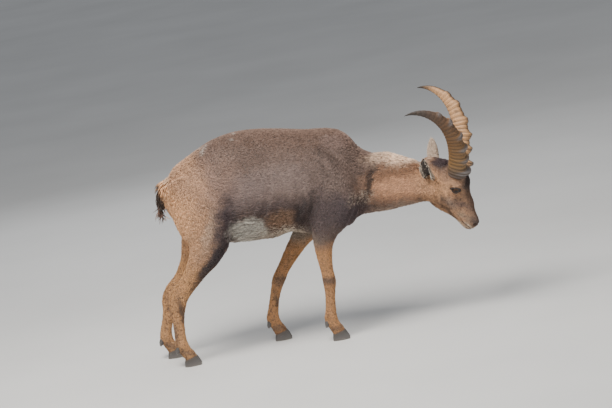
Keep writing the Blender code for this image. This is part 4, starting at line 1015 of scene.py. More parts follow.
guides = []
for strokes, place_of, way_of in ((TRUNK_STROKES, trunk_point, trunk_direction),
                                  (HEAD_STROKES, head_point, head_direction)):
    for place, lie, *hair in strokes:
        for sign in SIDE.values() if place[1] else (1.0,):
            guides.append((*place_of(*on_side(place, sign)), *way_of(*on_side(lie, sign)), *hair))
for rows, sign in LEG_ROWS:
    for i in range(2, len(rows) - 1):
        at = floor_point(*on_side(rows[i], sign))
        way = (floor_point(*on_side(rows[i + 1], sign)) - at + Vector((-0.006, 0, 0))).normalized()
        high = min(max((rows[i][2] - 0.1) / 0.4, 0.0), 1.0)
        foot = max(0.0, 0.09 - rows[i][2]) / 0.09
        for side in (-1.0, 1.0):
            guides.append((*(at + Vector((0.0, side * rows[i][3], 0.0))), *way,
                           0.0072 + 0.0068 * high + 0.004 * foot, 0.0018 + 0.0012 * high, 0.18 + 0.05 * foot))
for i in range(1, len(TAIL) - 1):
    at = floor_point(*TAIL[i][:3])
    guides.append((*at, *(floor_point(*TAIL[i + 1][:3]) - at).normalized(), *TAIL_STROKE))
guides = np.array([[float(v) for v in row] for row in guides])


def comb(points):
    """Lie, length, width and stand-off of the hair at each point, blended from the strokes."""
    out = np.zeros((len(points), 6))
    for start in range(0, len(points), 20000):
        part = points[start:start + 20000]
        far = ((part[:, None, :] - guides[None, :, :3]) ** 2).sum(2) + 0.012 ** 2
        weight = 1.0 / far ** 2.2
        out[start:start + 20000] = (weight @ guides[:, 3:]) / weight.sum(1)[:, None]
    return out


print("strokes", len(guides))

# %% Sink the skin by the depth of the coat
points, edges = arrays(skin.data)
combed = comb(points)
depth = np.clip(0.0006 + 17.0 * combed[:, 3] ** 2, 0.0008, 0.0095)
for step in range(6):
    depth = spread(depth[:, None], edges)[:, 0]
points = points - normals(skin.data) * depth[:, None]
head_zone = near(points, head_point(*HEAD_MIDDLE), HEAD_REACH)
put(skin.data, relax(points, edges, 1, 1.0 - 0.8 * (head_zone > 0.05)))
print("coat depth from", round(depth.min() * 1000, 1), "to", round(depth.max() * 1000, 1), "mm")

# %% [markdown]
# ## What the skin tells the hair
#
# The tufts will be set by Geometry Nodes, which read values from the skin's points. So lie, length,
# width and stand-off are written there as attributes, with the number of tufts per square metre: more
# where they are small, none on the lids, in the nostrils, along the lips and inside the hooves. Each
# face also gets the number of its zone, because each zone becomes a piece of its own.

# %% Attributes of the skin
CLAW_LENGTH = 0.06
CLAW_HEIGHT = 0.035
HORN_ROOT = (0.06, 0.029, 0.0445)
ZONES = ("head", "neck", "shoulder_right", "shoulder_left", "flank_right", "flank_left", "croup",
         "rump", "forelegs", "hindlegs", "crest", "belly", "tail")
# how many tufts lie over each other, and the area of a tuft of length and width 1
TUFT_AREA = 0.55
LAYERS = {"head": 2.1, "forelegs": 2.2, "hindlegs": 2.2, "crest": 3.4, "belly": 3.2, "tail": 5.0}


def write(mesh, name, kind, domain, values):
    """Write values to a mesh as a named attribute."""
    made = mesh.attributes.new(name, kind, domain)
    field_name = "vector" if kind == "FLOAT_VECTOR" else "value"
    made.data.foreach_set(field_name, np.ascontiguousarray(values).ravel())


def note(mesh, **numbers):
    """Write one number for each point, under each name given."""
    for name, values in numbers.items():
        write(mesh, name, "FLOAT", "POINT", np.array(values))


def flattened(ways, square):
    """Directions laid along the surface, from the direction square to it."""
    return ways - (ways * square).sum(1)[:, None] * square


def zone_of(places):
    """The number of the zone of each place; a later rule goes over an earlier one."""
    x, y, z = in_trunk(places).T
    left = places[:, 1] > 0.007
    middle = np.abs(places[:, 1] - 0.015)
    hips_x = places[:, 0] + MIDDLE_X
    low = places[:, 2] < 0.4
    tail_x = np.interp(places[:, 2], [r[2] for r in TAIL][::-1], [r[0] for r in TAIL][::-1])
    rules = (
        ("croup", places[:, 2] > -1.0), ("rump", left),
        ("flank_right", x > 0.13), ("flank_left", (x > 0.13) & left),
        ("shoulder_right", x > 0.36), ("shoulder_left", (x > 0.36) & left), ("neck", x > 0.6),
        ("belly", (x > 0.13) & (x < 0.4) & (z < -0.105) & (places[:, 2] > 0.36)),
        ("crest", (x > 0.61) & (z > 0.045) & (middle < 0.036)),
        ("hindlegs", low & (hips_x < 0.16) & (x < 0.36)),
        ("forelegs", low & (hips_x > 0.16) & (hips_x < 0.56) & (z < -0.165)),
        ("head", (in_head(places)[:, 0] > -0.004) & (x > 0.8)),
        ("tail", (hips_x < tail_x + 0.014) & (middle < 0.022) & (hips_x < -0.078)),
    )
    zone = np.zeros(len(places), np.int32)
    for name, where in rules:
        zone[where] = ZONES.index(name)
    return zone


def bare_places(points):
    """Lids, nostrils, lips, the tip of the nose, the roots of the horns and the insides of the hooves."""
    bare = np.zeros(len(points), bool)
    place = in_head(points)
    for sign in SIDE.values():
        horn = place - np.array(on_side(HORN_ROOT, sign))
        bare |= (lid_share(points, sign) < 1.14) | (nostril_share(points, sign) < 1.35)
        bare |= (np.hypot(horn[:, 0] * 0.8, horn[:, 1]) < 0.02) & (np.abs(horn[:, 2]) < 0.03)
    above, far, front = mouth_distance(points)
    bare |= front & (far < 0.002)
    bare |= (place[:, 0] > 0.2585) & (np.abs(place[:, 1]) < 0.009) & (np.abs(place[:, 2] - 0.004) < 0.009)
    for x, y, back in FEET.values():
        shift = points[:, 0] + MIDDLE_X - x
        top = CLAW_HEIGHT + 0.3 * (shift - 0.28 * CLAW_LENGTH)
        bare |= (points[:, 2] < top - 0.0015) & (np.abs(shift) < 0.05)
    return bare


points, edges = arrays(skin.data)
square = normals(skin.data)
combed = comb(points)
lie = flattened(combed[:, :3], square)
for step in range(8):
    lie = flattened(spread(lie, edges), square)
lie /= np.maximum(np.linalg.norm(lie, axis=1), 1e-6)[:, None]
layers = np.array([LAYERS.get(name, 2.5) for name in ZONES])[zone_of(points)]
bare = bare_places(points)
write(skin.data, "lie", "FLOAT_VECTOR", "POINT", lie)
note(skin.data, hair_length=combed[:, 3], hair_width=combed[:, 4], hair_lift=combed[:, 5],
     per_area=np.where(bare, 0.0, layers / (TUFT_AREA * combed[:, 3] * combed[:, 4])))
centres = np.empty(len(skin.data.polygons) * 3)
skin.data.polygons.foreach_get("center", centres)
write(skin.data, "zone", "INT", "FACE", zone_of(centres.reshape(-1, 3)))
print("bare points", int(bare.sum()), "of", len(points))

# %% [markdown]
# ## An unwrap of the skin
#
# A map lays the skin flat, so that colour can later be baked on it. Smart projection cuts it where it
# turns sharply. Every tuft will carry, on a map of the same name, a patch of about three thousandths at
# the place of its root, so that a later bake would give it the colour that the skin has there.

# %% Unwrap
skin.data.uv_layers.new(name="OFBake")
bpy.ops.object.select_all(action="DESELECT")
bpy.context.view_layer.objects.active = skin
skin.select_set(True)
bpy.ops.object.mode_set(mode="EDIT")
bpy.ops.mesh.select_all(action="SELECT")
bpy.ops.uv.smart_project(angle_limit=math.radians(72.0), island_margin=0.002)
bpy.ops.object.mode_set(mode="OBJECT")
skin.data.shade_smooth()
print("unwrap done, seconds", round(time.time() - START, 1))

# %% [markdown]
# ## Markings, and some painted light
#
# Skin and coat must carry the same markings, or the skin would show through as stains. So one function
# writes them into every material that needs them. It reads the place in space, turns it into the frame
# of the trunk or the head, and lays one soft ellipsoid of colour after another over the ground colour,
# as a painter glazes. Noise frays the edges, because no marking on fur ends in a clean line.
# A few of the ellipsoids are not markings but painted light: painted shade in the fold before the shoulder,
# in the crease behind the upper arm, over the forehead and under the jaw, and a painted highlight, over a
# greyer tone of the coat, across the middle of the flank.

# %% The table of markings and painted light
GROUND, DARK_GROUND = (0.205, 0.138, 0.11), (0.168, 0.112, 0.09)
# middle, radii, lean in degrees, softness, colour, strength
TRUNK_MARKINGS_AND_PAINTED_LIGHT = [
    ((0.25, 0.0, 0.2), (0.52, 0.2, 0.07), 0, 0.5, (0.178, 0.112, 0.085), 0.85),
    # paler, greyer middle of the flank: partly the coat's greyer tone, partly painted highlight where the
    # barrel faces the light
    ((0.36, 0.0, 0.04), (0.17, 0.4, 0.075), 0, 0.8, (0.262, 0.194, 0.172), 0.9),
    # the same paler flank further back: partly the coat's greyer tone, partly painted highlight
    ((0.2, 0.0, 0.0), (0.1, 0.4, 0.07), 0, 0.8, (0.245, 0.182, 0.168), 0.7),
    ((0.48, 0.0, 0.07), (0.09, 0.4, 0.11), -20, 0.8, (0.175, 0.122, 0.102), 0.8),
    ((0.505, 0.0, 0.16), (0.06, 0.4, 0.03), 0, 0.8, (0.245, 0.165, 0.14), 0.6),
    ((0.08, 0.0, 0.02), (0.1, 0.4, 0.11), 0, 1.2, (0.38, 0.245, 0.19), 0.8),
    ((-0.045, 0.0, -0.1), (0.13, 0.4, 0.29), 12, 1.2, (0.78, 0.435, 0.225), 0.97),
    ((-0.03, 0.0, 0.035), (0.08, 0.4, 0.07), -35, 0.9, (0.5, 0.3, 0.19), 0.8),
    ((0.13, 0.0, -0.108), (0.048, 0.4, 0.125), -10, 1.0, (0.064, 0.046, 0.052), 0.9),
    ((0.066, 0.0, -0.15), (0.026, 0.4, 0.085), -14, 1.2, (0.64, 0.47, 0.35), 0.5),
    ((0.084, 0.0, -0.262), (0.026, 0.4, 0.15), -28, 0.9, (0.052, 0.037, 0.042), 0.92),
    ((0.3, 0.0, -0.058), (0.18, 0.4, 0.044), 4, 1.3, (0.085, 0.062, 0.066), 0.8),
    ((0.205, 0.0, -0.148), (0.078, 0.4, 0.062), 0, 0.45, (0.6, 0.56, 0.49), 0.95),
    ((0.33, 0.0, -0.185), (0.14, 0.4, 0.045), 0, 0.6, (0.36, 0.29, 0.225), 0.75),
    ((0.32, 0.0, -0.098), (0.058, 0.4, 0.04), 8, 1.0, (0.42, 0.255, 0.16), 0.85),
    ((0.39, 0.0, -0.085), (0.028, 0.4, 0.07), 0, 1.0, (0.042, 0.03, 0.03), 0.9),
    ((0.196, 0.0, -0.222), (0.024, 0.06, 0.022), 0, 0.6, (0.06, 0.045, 0.038), 0.9),
    ((0.535, 0.0, -0.08), (0.09, 0.4, 0.09), 0, 0.8, (0.08, 0.058, 0.064), 0.9),
    ((0.455, 0.0, -0.085), (0.06, 0.4, 0.105), -6, 0.8, (0.09, 0.063, 0.064), 0.88),
    # dark line behind the upper arm: painted shade in the crease there
    ((0.419, 0.0, -0.055), (0.009, 0.4, 0.08), -4, 0.9, (0.045, 0.032, 0.03), 0.65),
    ((0.74, 0.0, 0.01), (0.15, 0.4, 0.075), 6, 0.7, (0.6, 0.325, 0.185), 0.95),
    ((0.735, 0.0, 0.056), (0.13, 0.4, 0.024), 6, 0.9, (0.215, 0.112, 0.062), 0.85),
    ((0.75, 0.0, -0.08), (0.14, 0.4, 0.034), 10, 0.8, (0.42, 0.3, 0.23), 0.85),
    # dark band where the neck meets the shoulder: painted shade in the fold
    ((0.628, 0.0, 0.022), (0.018, 0.4, 0.085), -16, 0.9, (0.045, 0.03, 0.026), 0.85),
    ((0.755, 0.0, 0.112), (0.145, 0.4, 0.037), 7, 0.9, (0.84, 0.61, 0.44), 0.97),
    ((0.046, 0.0, 0.125), (0.016, 0.4, 0.013), 0, 0.9, (0.48, 0.42, 0.38), 0.6),
    ((0.15, 0.0, 0.17), (0.013, 0.4, 0.01), 0, 0.9, (0.44, 0.39, 0.35), 0.55),
    ((-0.084, 0.0, 0.02), (0.016, 0.046, 0.026), 0, 0.9, (0.56, 0.4, 0.28), 0.75),
    ((-0.11, 0.0, -0.085), (0.028, 0.036, 0.1), 4, 0.4, (0.034, 0.024, 0.021), 0.97),
    ((-0.118, 0.0, -0.128), (0.026, 0.036, 0.042), 20, 0.9, (0.24, 0.14, 0.105), 0.85),
]
LEG_MARKINGS = [
    ((0.4, 0.0, 0.176), (0.5, 0.4, 0.18), 0, 0.3, (0.56, 0.29, 0.125), 0.94),
    ((-0.11, 0.0, 0.18), (0.24, 0.4, 0.21), 0, 0.4, (0.6, 0.325, 0.145), 0.92),
    ((0.026, 0.0, 0.345), (0.024, 0.4, 0.13), -43, 0.8, (0.052, 0.037, 0.04), 0.93),
    ((0.418, 0.0, 0.215), (0.04, 0.4, 0.02), 0, 0.9, (0.12, 0.08, 0.062), 0.8),
    ((0.26, 0.0, 0.215), (0.04, 0.4, 0.024), 0, 0.9, (0.12, 0.08, 0.062), 0.65),
    ((0.439, 0.0, 0.115), (0.009, 0.4, 0.08), 0, 0.9, (0.15, 0.09, 0.058), 0.8),
    ((0.235, 0.0, 0.115), (0.01, 0.4, 0.08), 12, 0.9, (0.15, 0.09, 0.058), 0.8),
    ((-0.098, 0.0, 0.185), (0.013, 0.4, 0.09), 4, 0.9, (0.11, 0.066, 0.048), 0.85),
    ((-0.145, 0.0, 0.15), (0.012, 0.4, 0.09), 8, 0.9, (0.16, 0.1, 0.072), 0.7),
    ((0.1, 0.0, 0.048), (0.7, 0.4, 0.014), 0, 0.9, (0.15, 0.1, 0.072), 0.65),
]
FACE_MARKINGS_AND_PAINTED_SHADE = [
    ((0.1, 0.0, -0.03), (0.17, 0.4, 0.085), 0, 0.6, (0.56, 0.32, 0.18), 0.95),
    ((0.075, 0.05, -0.03), (0.05, 0.05, 0.03), 0, 0.8, (0.76, 0.44, 0.24), 0.85),
    ((0.001, 0.0, 0.008), (0.05, 0.08, 0.029), 64, 0.7, (0.036, 0.024, 0.03), 0.97),
    ((0.04, 0.05, 0.016), (0.034, 0.03, 0.024), 64, 0.9, (0.22, 0.135, 0.098), 0.6),
    # dark over the forehead above the eyes: painted shade
    ((0.112, 0.0, 0.06), (0.052, 0.06, 0.022), -38, 0.9, (0.046, 0.031, 0.028), 0.95),
    ((0.18, 0.0, 0.032), (0.06, 0.03, 0.018), -10, 0.9, (0.125, 0.07, 0.052), 0.9),
    ((0.168, 0.05, 0.006), (0.042, 0.05, 0.018), 24, 1.2, (0.115, 0.084, 0.086), 0.85),
    ((0.142, 0.05, -0.026), (0.036, 0.05, 0.02), 0, 1.1, (0.33, 0.245, 0.2), 0.75),
    ((0.114, 0.05, -0.042), (0.02, 0.04, 0.012), -30, 1.2, (0.08, 0.056, 0.05), 0.75),
    ((0.15, 0.05, -0.056), (0.04, 0.04, 0.012), 24, 0.9, (0.15, 0.098, 0.07), 0.8),
    ((0.19, 0.03, -0.048), (0.036, 0.04, 0.009), 12, 0.9, (0.12, 0.08, 0.06), 0.8),
    ((0.2, 0.0, -0.018), (0.022, 0.06, 0.015), 0, 0.8, (0.48, 0.345, 0.24), 0.75),
    ((0.226, 0.0, -0.004), (0.026, 0.06, 0.016), 0, 0.8, (0.36, 0.24, 0.16), 0.9),
    ((0.246, 0.0, 0.012), (0.026, 0.04, 0.013), 10, 0.9, (0.08, 0.058, 0.054), 0.9),
    ((0.246, 0.0, -0.02), (0.024, 0.05, 0.01), 24, 0.7, (0.78, 0.62, 0.47), 0.88),
    ((0.238, 0.0, -0.044), (0.028, 0.04, 0.013), 0, 0.7, (0.78, 0.62, 0.46), 0.88),
    # darker underside of the jaw: painted shade
    ((0.09, 0.0, -0.106), (0.1, 0.08, 0.018), 0, 0.8, (0.2, 0.128, 0.085), 0.85),
]
TABLES = (("T", TRUNK_MARKINGS_AND_PAINTED_LIGHT), ("F", LEG_MARKINGS), ("H", FACE_MARKINGS_AND_PAINTED_SHADE))
print("markings_and_painted_light", sum(len(table) for frame_name, table in TABLES))


# %% Markings and painted light as a wire
# name, origin, turn and how far the noise frays the edges, in metres
FRAMES = (
    ("T", trunk_point(0, 0, 0), PITCH.to_euler(), 0.075),
    ("F", floor_point(0, 0, 0), (0.0, 0.0, 0.0), 0.05),
    ("H", head_point(0, 0, 0), HEAD_TURN.to_euler(), 0.042),
)


def place_wires(wire):
    """The place in the trunk, the floor and the head frame, with both sides folded onto one."""
    here = wire.place()
    fray = here.noise(26.0, 4.0, 0.62, output=1).shift("SUBTRACT", (0.5, 0.5, 0.5))
    frames = {}
    for name, origin, turn, amount in FRAMES:
        local = here.node("ShaderNodeMapping", {"vector_type": "TEXTURE"},
                          {"Vector": here, "Location": origin, "Rotation": turn})
        frayed = here.node("ShaderNodeVectorMath", {"operation": "SCALE"}, {0: fray, "Scale": amount})
        parts = here.node("ShaderNodeSeparateXYZ", {}, {0: local.shift("ADD", frayed)})
        frames[name] = here.node("ShaderNodeCombineXYZ", {}, {0: parts, 1: parts.other(1).size(),
                                                              2: parts.other(2)})
    return here, frames


def blob(place, middle, radii, lean, soft):
    """A soft ellipsoid: 1 inside, fading to 0 at its edge."""
    local = place.node("ShaderNodeMapping", {"vector_type": "TEXTURE"},
                       {"Vector": place, "Location": middle, "Rotation": (0.0, math.radians(-lean), 0.0),
                        "Scale": radii})
    far = local.node("ShaderNodeVectorMath", {"operation": "LENGTH"}, {0: local}, output=1)
    return far.step(1.0 - soft * 0.75, 1.0 + soft * 0.35, 1.0, 0.0)


def part(place, axis):
    """One number of a place."""
    return place.node("ShaderNodeSeparateXYZ", {}, {0: place}).other(axis)


# markings broken up by noise: frame, middle, radii, lean, softness, span of the noise, colour, strength
LOWER_FACE = ("H", (0.165, 0.0, -0.01), (0.085, 0.4, 0.055), 0, 1.0, (0.46, 0.62), (0.09, 0.06, 0.055), 0.55)
BROKEN = (
    ("T", (0.322, 0.0, -0.104), (0.07, 0.4, 0.052), 8, 0.9, (0.5, 0.42), (0.05, 0.034, 0.028), 0.65),
    ("T", (0.33, 0.0, -0.15), (0.09, 0.4, 0.034), 0, 0.9, (0.5, 0.58), (0.62, 0.52, 0.4), 0.85),
    ("T", (0.598, 0.0, -0.03), (0.055, 0.4, 0.034), 12, 0.7, (0.48, 0.58), (0.48, 0.38, 0.3), 0.75),
    ("T", (0.205, 0.0, -0.15), (0.08, 0.4, 0.06), 0, 0.6, (0.5, 0.38), (0.2, 0.16, 0.13), 0.55),
)


def markings_and_painted_light(wire):
    """The ground colour of the coat with every marking, and the painted shade and highlight, laid over it."""
    here, frames = place_wires(wire)
    on_head = part(frames["H"], 0).step(-0.04, -0.012)
    streak = here.noise(135.0, 3.0, 0.6)
    colour = here.noise(9.0, 2.0).step(0.35, 0.65).between(GROUND, DARK_GROUND)

    def broken(colour, kind, middle, radii, lean, soft, span, shade, strength):
        share = blob(frames[kind], middle, radii, lean, soft)
        share = share * on_head if kind == "H" else share
        return colour.tint(shade, share * streak.step(*span) * strength)

    for kind, table in TABLES:
        for middle, radii, lean, soft, shade, strength in table:
            share = blob(frames[kind], middle, radii, lean, soft) * strength
            colour = colour.tint(shade, share * on_head if kind == "H" else share)
    colour = broken(colour, *LOWER_FACE)
    colour = colour.tint((0.08, 0.05, 0.04), streak.step(0.5, 0.72) * 0.38)
    legs = part(frames["F"], 2).step(0.36, 0.24)
    colour = colour.tint((0.12, 0.072, 0.05), legs * streak.step(0.5, 0.66) * 0.6)
    for row in BROKEN:
        colour = broken(colour, *row)
    return here, colour


print("markings are ready for skin and coat")

# %% [markdown]
# ## The finish of skin and coat
#
# Fur is matt with a faint sheen across the tips. The skin below is a shade darker than the hair, since
# light is lost between the hairs. Each tuft has a value of its own, so that neighbours differ a little
# and the coat looks combed and not painted.

# %% Skin and coat materials
def coat_material(name, is_skin):
    """The markings and their painted light, darkened by painted shade on the skin and varied from tuft to
    tuft on the coat.
    """
    material, wire, shader = new_material(name)
    here, colour = markings_and_painted_light(wire)
    if is_skin:
        fine, lip = here.noise(420.0, 2.0), here.value("lip")
        # painted shade: the skin under the coat is darkened for the light lost between the hairs
        colour = colour.tint((0.0, 0.0, 0.0), 0.16 + 0.16 * fine)
        colour = colour.tint((0.03, 0.022, 0.02), lip.step(0.15, 0.85) * 0.92)
        feed(shader, Base_Color=colour, Normal=fine.relief(0.35, 0.0012), Roughness=0.8 - 0.25 * lip)
    else:
        own = here.value("shade")
        light = 0.66 + 0.52 * own + 0.18 * here.value("tip")
        feed(shader, Base_Color=colour.shift("MULTIPLY", light.grey()), Roughness=0.62 + 0.2 * own)
    fix(shader, Specular_IOR_Level=0.22, Sheen_Weight=0.12, Sheen_Roughness=0.45)
    return material


skin_finish = coat_material("skin_under_coat", True)
coat_finish = coat_material("ibex_coat", False)
points, edges = arrays(skin.data)
lip = np.zeros(len(points))
for sign in SIDE.values():
    lip = np.maximum(lip, np.clip((1.25 - nostril_share(points, sign)) / 0.35, 0.0, 1.0))
    lip = np.maximum(lip, np.clip((1.22 - lid_share(points, sign)) / 0.1, 0.0, 1.0))
above, far, front = mouth_distance(points)
lip = np.maximum(lip, np.where(front, np.clip((0.0022 - far) / 0.001, 0.0, 1.0), 0.0))
note(skin.data, lip=lip)
skin.data.materials.append(skin_finish)
print("nodes in the coat", len(coat_finish.node_tree.nodes))

# %% [markdown]
# ## Tufts
#
# A tuft is a few hairs that cling together: thin at its root, widest a third of the way, and drawn out
# to a point that bends back to the skin. The short one has six faces and serves where the coat lies
# flat; the long one has one more section, so that it can droop. Both are closed, as the export needs.

# %% Two tufts
def tuft(name, stations):
    """A closed blade of length 1 along x: a root point, three-sided sections, and a tip."""
    points = [(-0.06, 0.0, -0.1)]
    tips = [0.0]
    for x, wide, high, thick in stations:
        points += [(x, -0.5 * wide, high), (x, 0.5 * wide, high), (x, 0.0, high + thick)]
        tips += [x, x, x]
    points.append((1.0, 0.0, stations[-1][2] * 0.86 + 0.04))
    tips.append(1.0)
    faces = [(0, 1 + (k + 1) % 3, 1 + k) for k in range(3)]
    for row in range(len(stations) - 1):
        for k in range(3):
            a, b = 1 + row * 3 + k, 1 + row * 3 + (k + 1) % 3
            faces.append((a, b, b + 3, a + 3))
    last = 1 + 3 * (len(stations) - 1)
    faces += [(last + k, last + (k + 1) % 3, len(points) - 1) for k in range(3)]
    made = object_of(points, faces, name)
    note(made.data, tip=tips, patch_x=[p[0] for p in points], patch_y=[p[1] + 0.5 for p in points])
    return made


short_tuft = tuft("short_tuft", ((0.34, 1.0, 0.62, 0.42),))
long_tuft = tuft("long_tuft", ((0.26, 0.95, 0.62, 0.36), (0.66, 0.62, 0.92, 0.24)))
print("faces", len(short_tuft.data.polygons), "and", len(long_tuft.data.polygons))

# %% [markdown]
# ## Setting the coat with Geometry Nodes
#
# To place a hundred thousand tufts by hand or by loop is slow. Geometry Nodes scatter points over the
# faces of a zone, turn each one to the normal and the lie, and set a tuft there, scaled by the values
# that the skin carries. Its inputs are named: zone, seed, share, tuft and finish.

# %% The tree that sets the tufts
PATCH_SIZE = 0.003


def field(wire, name, kind="FLOAT"):
    """A named attribute of the surface, as a wire."""
    return wire.node("GeometryNodeInputNamedAttribute", {"data_type": kind}, {"Name": name})


def chance(wire, low, high, seed):
    """A number of its own for each tuft."""
    return wire.node("FunctionNodeRandomValue", {"data_type": "FLOAT"},
                     {2: low, 3: high, "Seed": seed}, output=1)


def coat_tree():
    """Scatter, turn, scale and realize the tufts of one zone."""
    tree = bpy.data.node_groups.new("set_tufts", "GeometryNodeTree")
    tree.interface.new_socket(name="Skin", in_out="INPUT", socket_type="NodeSocketGeometry")
    for name, kind in (("Zone", "NodeSocketInt"), ("Seed", "NodeSocketInt"), ("Share", "NodeSocketFloat"),
                       ("Tuft", "NodeSocketObject"), ("Finish", "NodeSocketMaterial")):
        tree.interface.new_socket(name=name, in_out="INPUT", socket_type=kind)
    tree.interface.new_socket(name="Coat", in_out="OUTPUT", socket_type="NodeSocketGeometry")
    inlet = Wire(tree).node("NodeGroupInput")
    same = inlet.node("FunctionNodeCompare", {"data_type": "INT", "operation": "EQUAL"},
                      {2: field(inlet, "zone", "INT"), 3: inlet.other(1)})
    spots = inlet.node("GeometryNodeDistributePointsOnFaces", {"distribute_method": "RANDOM"},
                       {"Mesh": inlet, "Selection": same, "Seed": inlet.other(2),
                        "Density": field(inlet, "per_area") * inlet.other(3)})
    stray = inlet.node("FunctionNodeRandomValue", {"data_type": "FLOAT_VECTOR"},
                       {0: (-0.16, -0.16, -0.16), 1: (0.16, 0.16, 0.16), "Seed": inlet.other(2)})
    way = field(inlet, "lie", "FLOAT_VECTOR").shift("ADD", stray)
    upright = inlet.node("FunctionNodeAlignRotationToVector", {"axis": "Z"}, {"Vector": spots.other(1)})
    turned = inlet.node("FunctionNodeAlignRotationToVector", {"axis": "X", "pivot_axis": "Z"},
                        {"Rotation": upright, "Vector": way})
    grow, rise = chance(inlet, 0.72, 1.22, 11), chance(inlet, 0.65, 1.45, 12)
    length = field(inlet, "hair_length") * grow
    size = inlet.node("ShaderNodeCombineXYZ", {}, {0: length, 1: field(inlet, "hair_width") * grow,
                                                   2: length * field(inlet, "hair_lift") * rise})
    set_down = inlet.node("GeometryNodeInstanceOnPoints", {},
                          {"Points": spots, "Rotation": turned, "Scale": size,
                           "Instance": inlet.node("GeometryNodeObjectInfo", {}, {"Object": inlet.other(4)},
                                                  output=4)})
    shaded = inlet.node("GeometryNodeStoreNamedAttribute", {"data_type": "FLOAT", "domain": "INSTANCE"},
                        {"Geometry": set_down, "Name": "shade",
                         "Value": chance(inlet, 0.0, 1.0, 13)})
    solid = inlet.node("GeometryNodeRealizeInstances", {}, {0: shaded})
    patch = inlet.node("ShaderNodeCombineXYZ", {}, {0: field(inlet, "patch_x") * PATCH_SIZE,
                                                    1: field(inlet, "patch_y") * PATCH_SIZE})
    mapped = inlet.node("GeometryNodeStoreNamedAttribute", {"data_type": "FLOAT2", "domain": "CORNER"},
                        {"Geometry": solid, "Name": "OFBake",
                         "Value": field(inlet, "OFBake", "FLOAT_VECTOR").shift("ADD", patch)})
    dressed = inlet.node("GeometryNodeSetMaterial", {}, {"Geometry": mapped, "Material": inlet.other(5)})
    outlet = tree.nodes.new("NodeGroupOutput")
    tree.links.new(dressed.socket, outlet.inputs[0])
    return tree


TREE = coat_tree()
SOCKETS = {item.name: item.identifier for item in TREE.interface.items_tree if item.in_out == "INPUT"}
KEPT_NAMES = ("position", "OFBake", "shade", "tip", "inside", "sharp_face", "material_index")


def grow_coat(name, source, zone, seed, share, shape, finish):
    """Run the tree on one zone and keep the result as a plain mesh."""
    grower = new_object("grower", source.data)
    step = grower.modifiers.new("tufts", "NODES")
    step.node_group = TREE
    inputs = {"Zone": zone, "Seed": seed, "Share": share, "Tuft": shape, "Finish": finish}
    for socket, value in inputs.items():
        step[SOCKETS[socket]] = value
    mesh = settled(grower)
    bpy.data.objects.remove(grower)
    for spare in [a.name for a in mesh.attributes if a.name not in KEPT_NAMES and not a.is_internal]:
        mesh.attributes.remove(mesh.attributes[spare])
    mesh.name = name
    mesh.calc_loop_triangles()
    print(name, "triangles", len(mesh.loop_triangles))
    return new_object(name, mesh)


LONG_ZONES = ("crest", "belly", "tail")
coats = []
for number, name in enumerate(ZONES):
    shape = long_tuft if name in LONG_ZONES else short_tuft
    coats.append(grow_coat("coat_" + name, skin, number, 20 + number, 1.0, shape, coat_finish))
print("coat triangles", sum(len(c.data.loop_triangles) for c in coats),
      "seconds", round(time.time() - START, 1))

# %% [markdown]
# ## Eyes
#
# An ibex's eye is amber with a level pupil, and from a few metres off it reads as one dark wet bead.
# The ball is a true sphere with a swollen cornea. Its colour is drawn by two values that each point
# carries, its place along the lids and above them, so the pupil stays level with the lids.

# %% Eyeballs and lid rims
def eyeball(side, sign):
    """A sphere with a swollen cornea, which carries the place of each point on it."""
    middle, out, along, up = eye_frame(sign)
    turn = Matrix((along, up, out)).transposed()
    work = bmesh.new()
    bmesh.ops.create_uvsphere(work, u_segments=56, v_segments=40, radius=1.0)
    places = []
    for v in work.verts:
        c = v.co.normalized()
        swell = 0.0011 * bump(np.array([math.acos(max(min(c.z, 1.0), -1.0)) / 0.72]))[0]
        places.append((c.x * EYE_RADIUS, c.y * EYE_RADIUS, c.z))
        v.co = middle + turn @ (c * (EYE_RADIUS + swell))
    bmesh.ops.recalc_face_normals(work, faces=work.faces)
    made = mesh_object(work, "eyeball_" + side)
    along_lids, above_lids, facing = zip(*places)
    note(made.data, along_lids=along_lids, above_lids=above_lids, facing=facing)
    return made


RIM_HEIGHT, RIM_WIDTH = 0.0015, 0.0023


def lid_rim(side, sign, count=72, sides=8):
    """The bare dark edge of both lids, a thin closed ring on the eyeball."""
    middle, out, along, up = eye_frame(sign)
    line = []
    for c, s in around(count):
        a = LID_HALF_LENGTH * fuller(c, 2.0 / LID_POWER)
        b = LID_HALF_HEIGHT * fuller(s, 2.0 / LID_POWER) * (LID_UPPER if s > 0.0 else LID_LOWER)
        flat = along * a + up * b
        lift = math.sqrt(max(EYE_RADIUS ** 2 - flat.length_squared, 0.00002)) + 0.001
        line.append(middle + flat + out * lift)
    points, faces = [], []
    for k in range(count):
        way = (line[(k + 1) % count] - line[k - 1]).normalized()
        rise = square_to((line[k] - middle).normalized(), way)
        across = way.cross(rise)
        points += [line[k] + rise * RIM_HEIGHT * c + across * RIM_WIDTH * s for c, s in around(sides)]
        here, ahead = k * sides, (k + 1) % count * sides
        for j in range(sides):
            faces.append((here + j, here + (j + 1) % sides, ahead + (j + 1) % sides, ahead + j))
    return object_of(points, faces, "lid_rim_" + side)


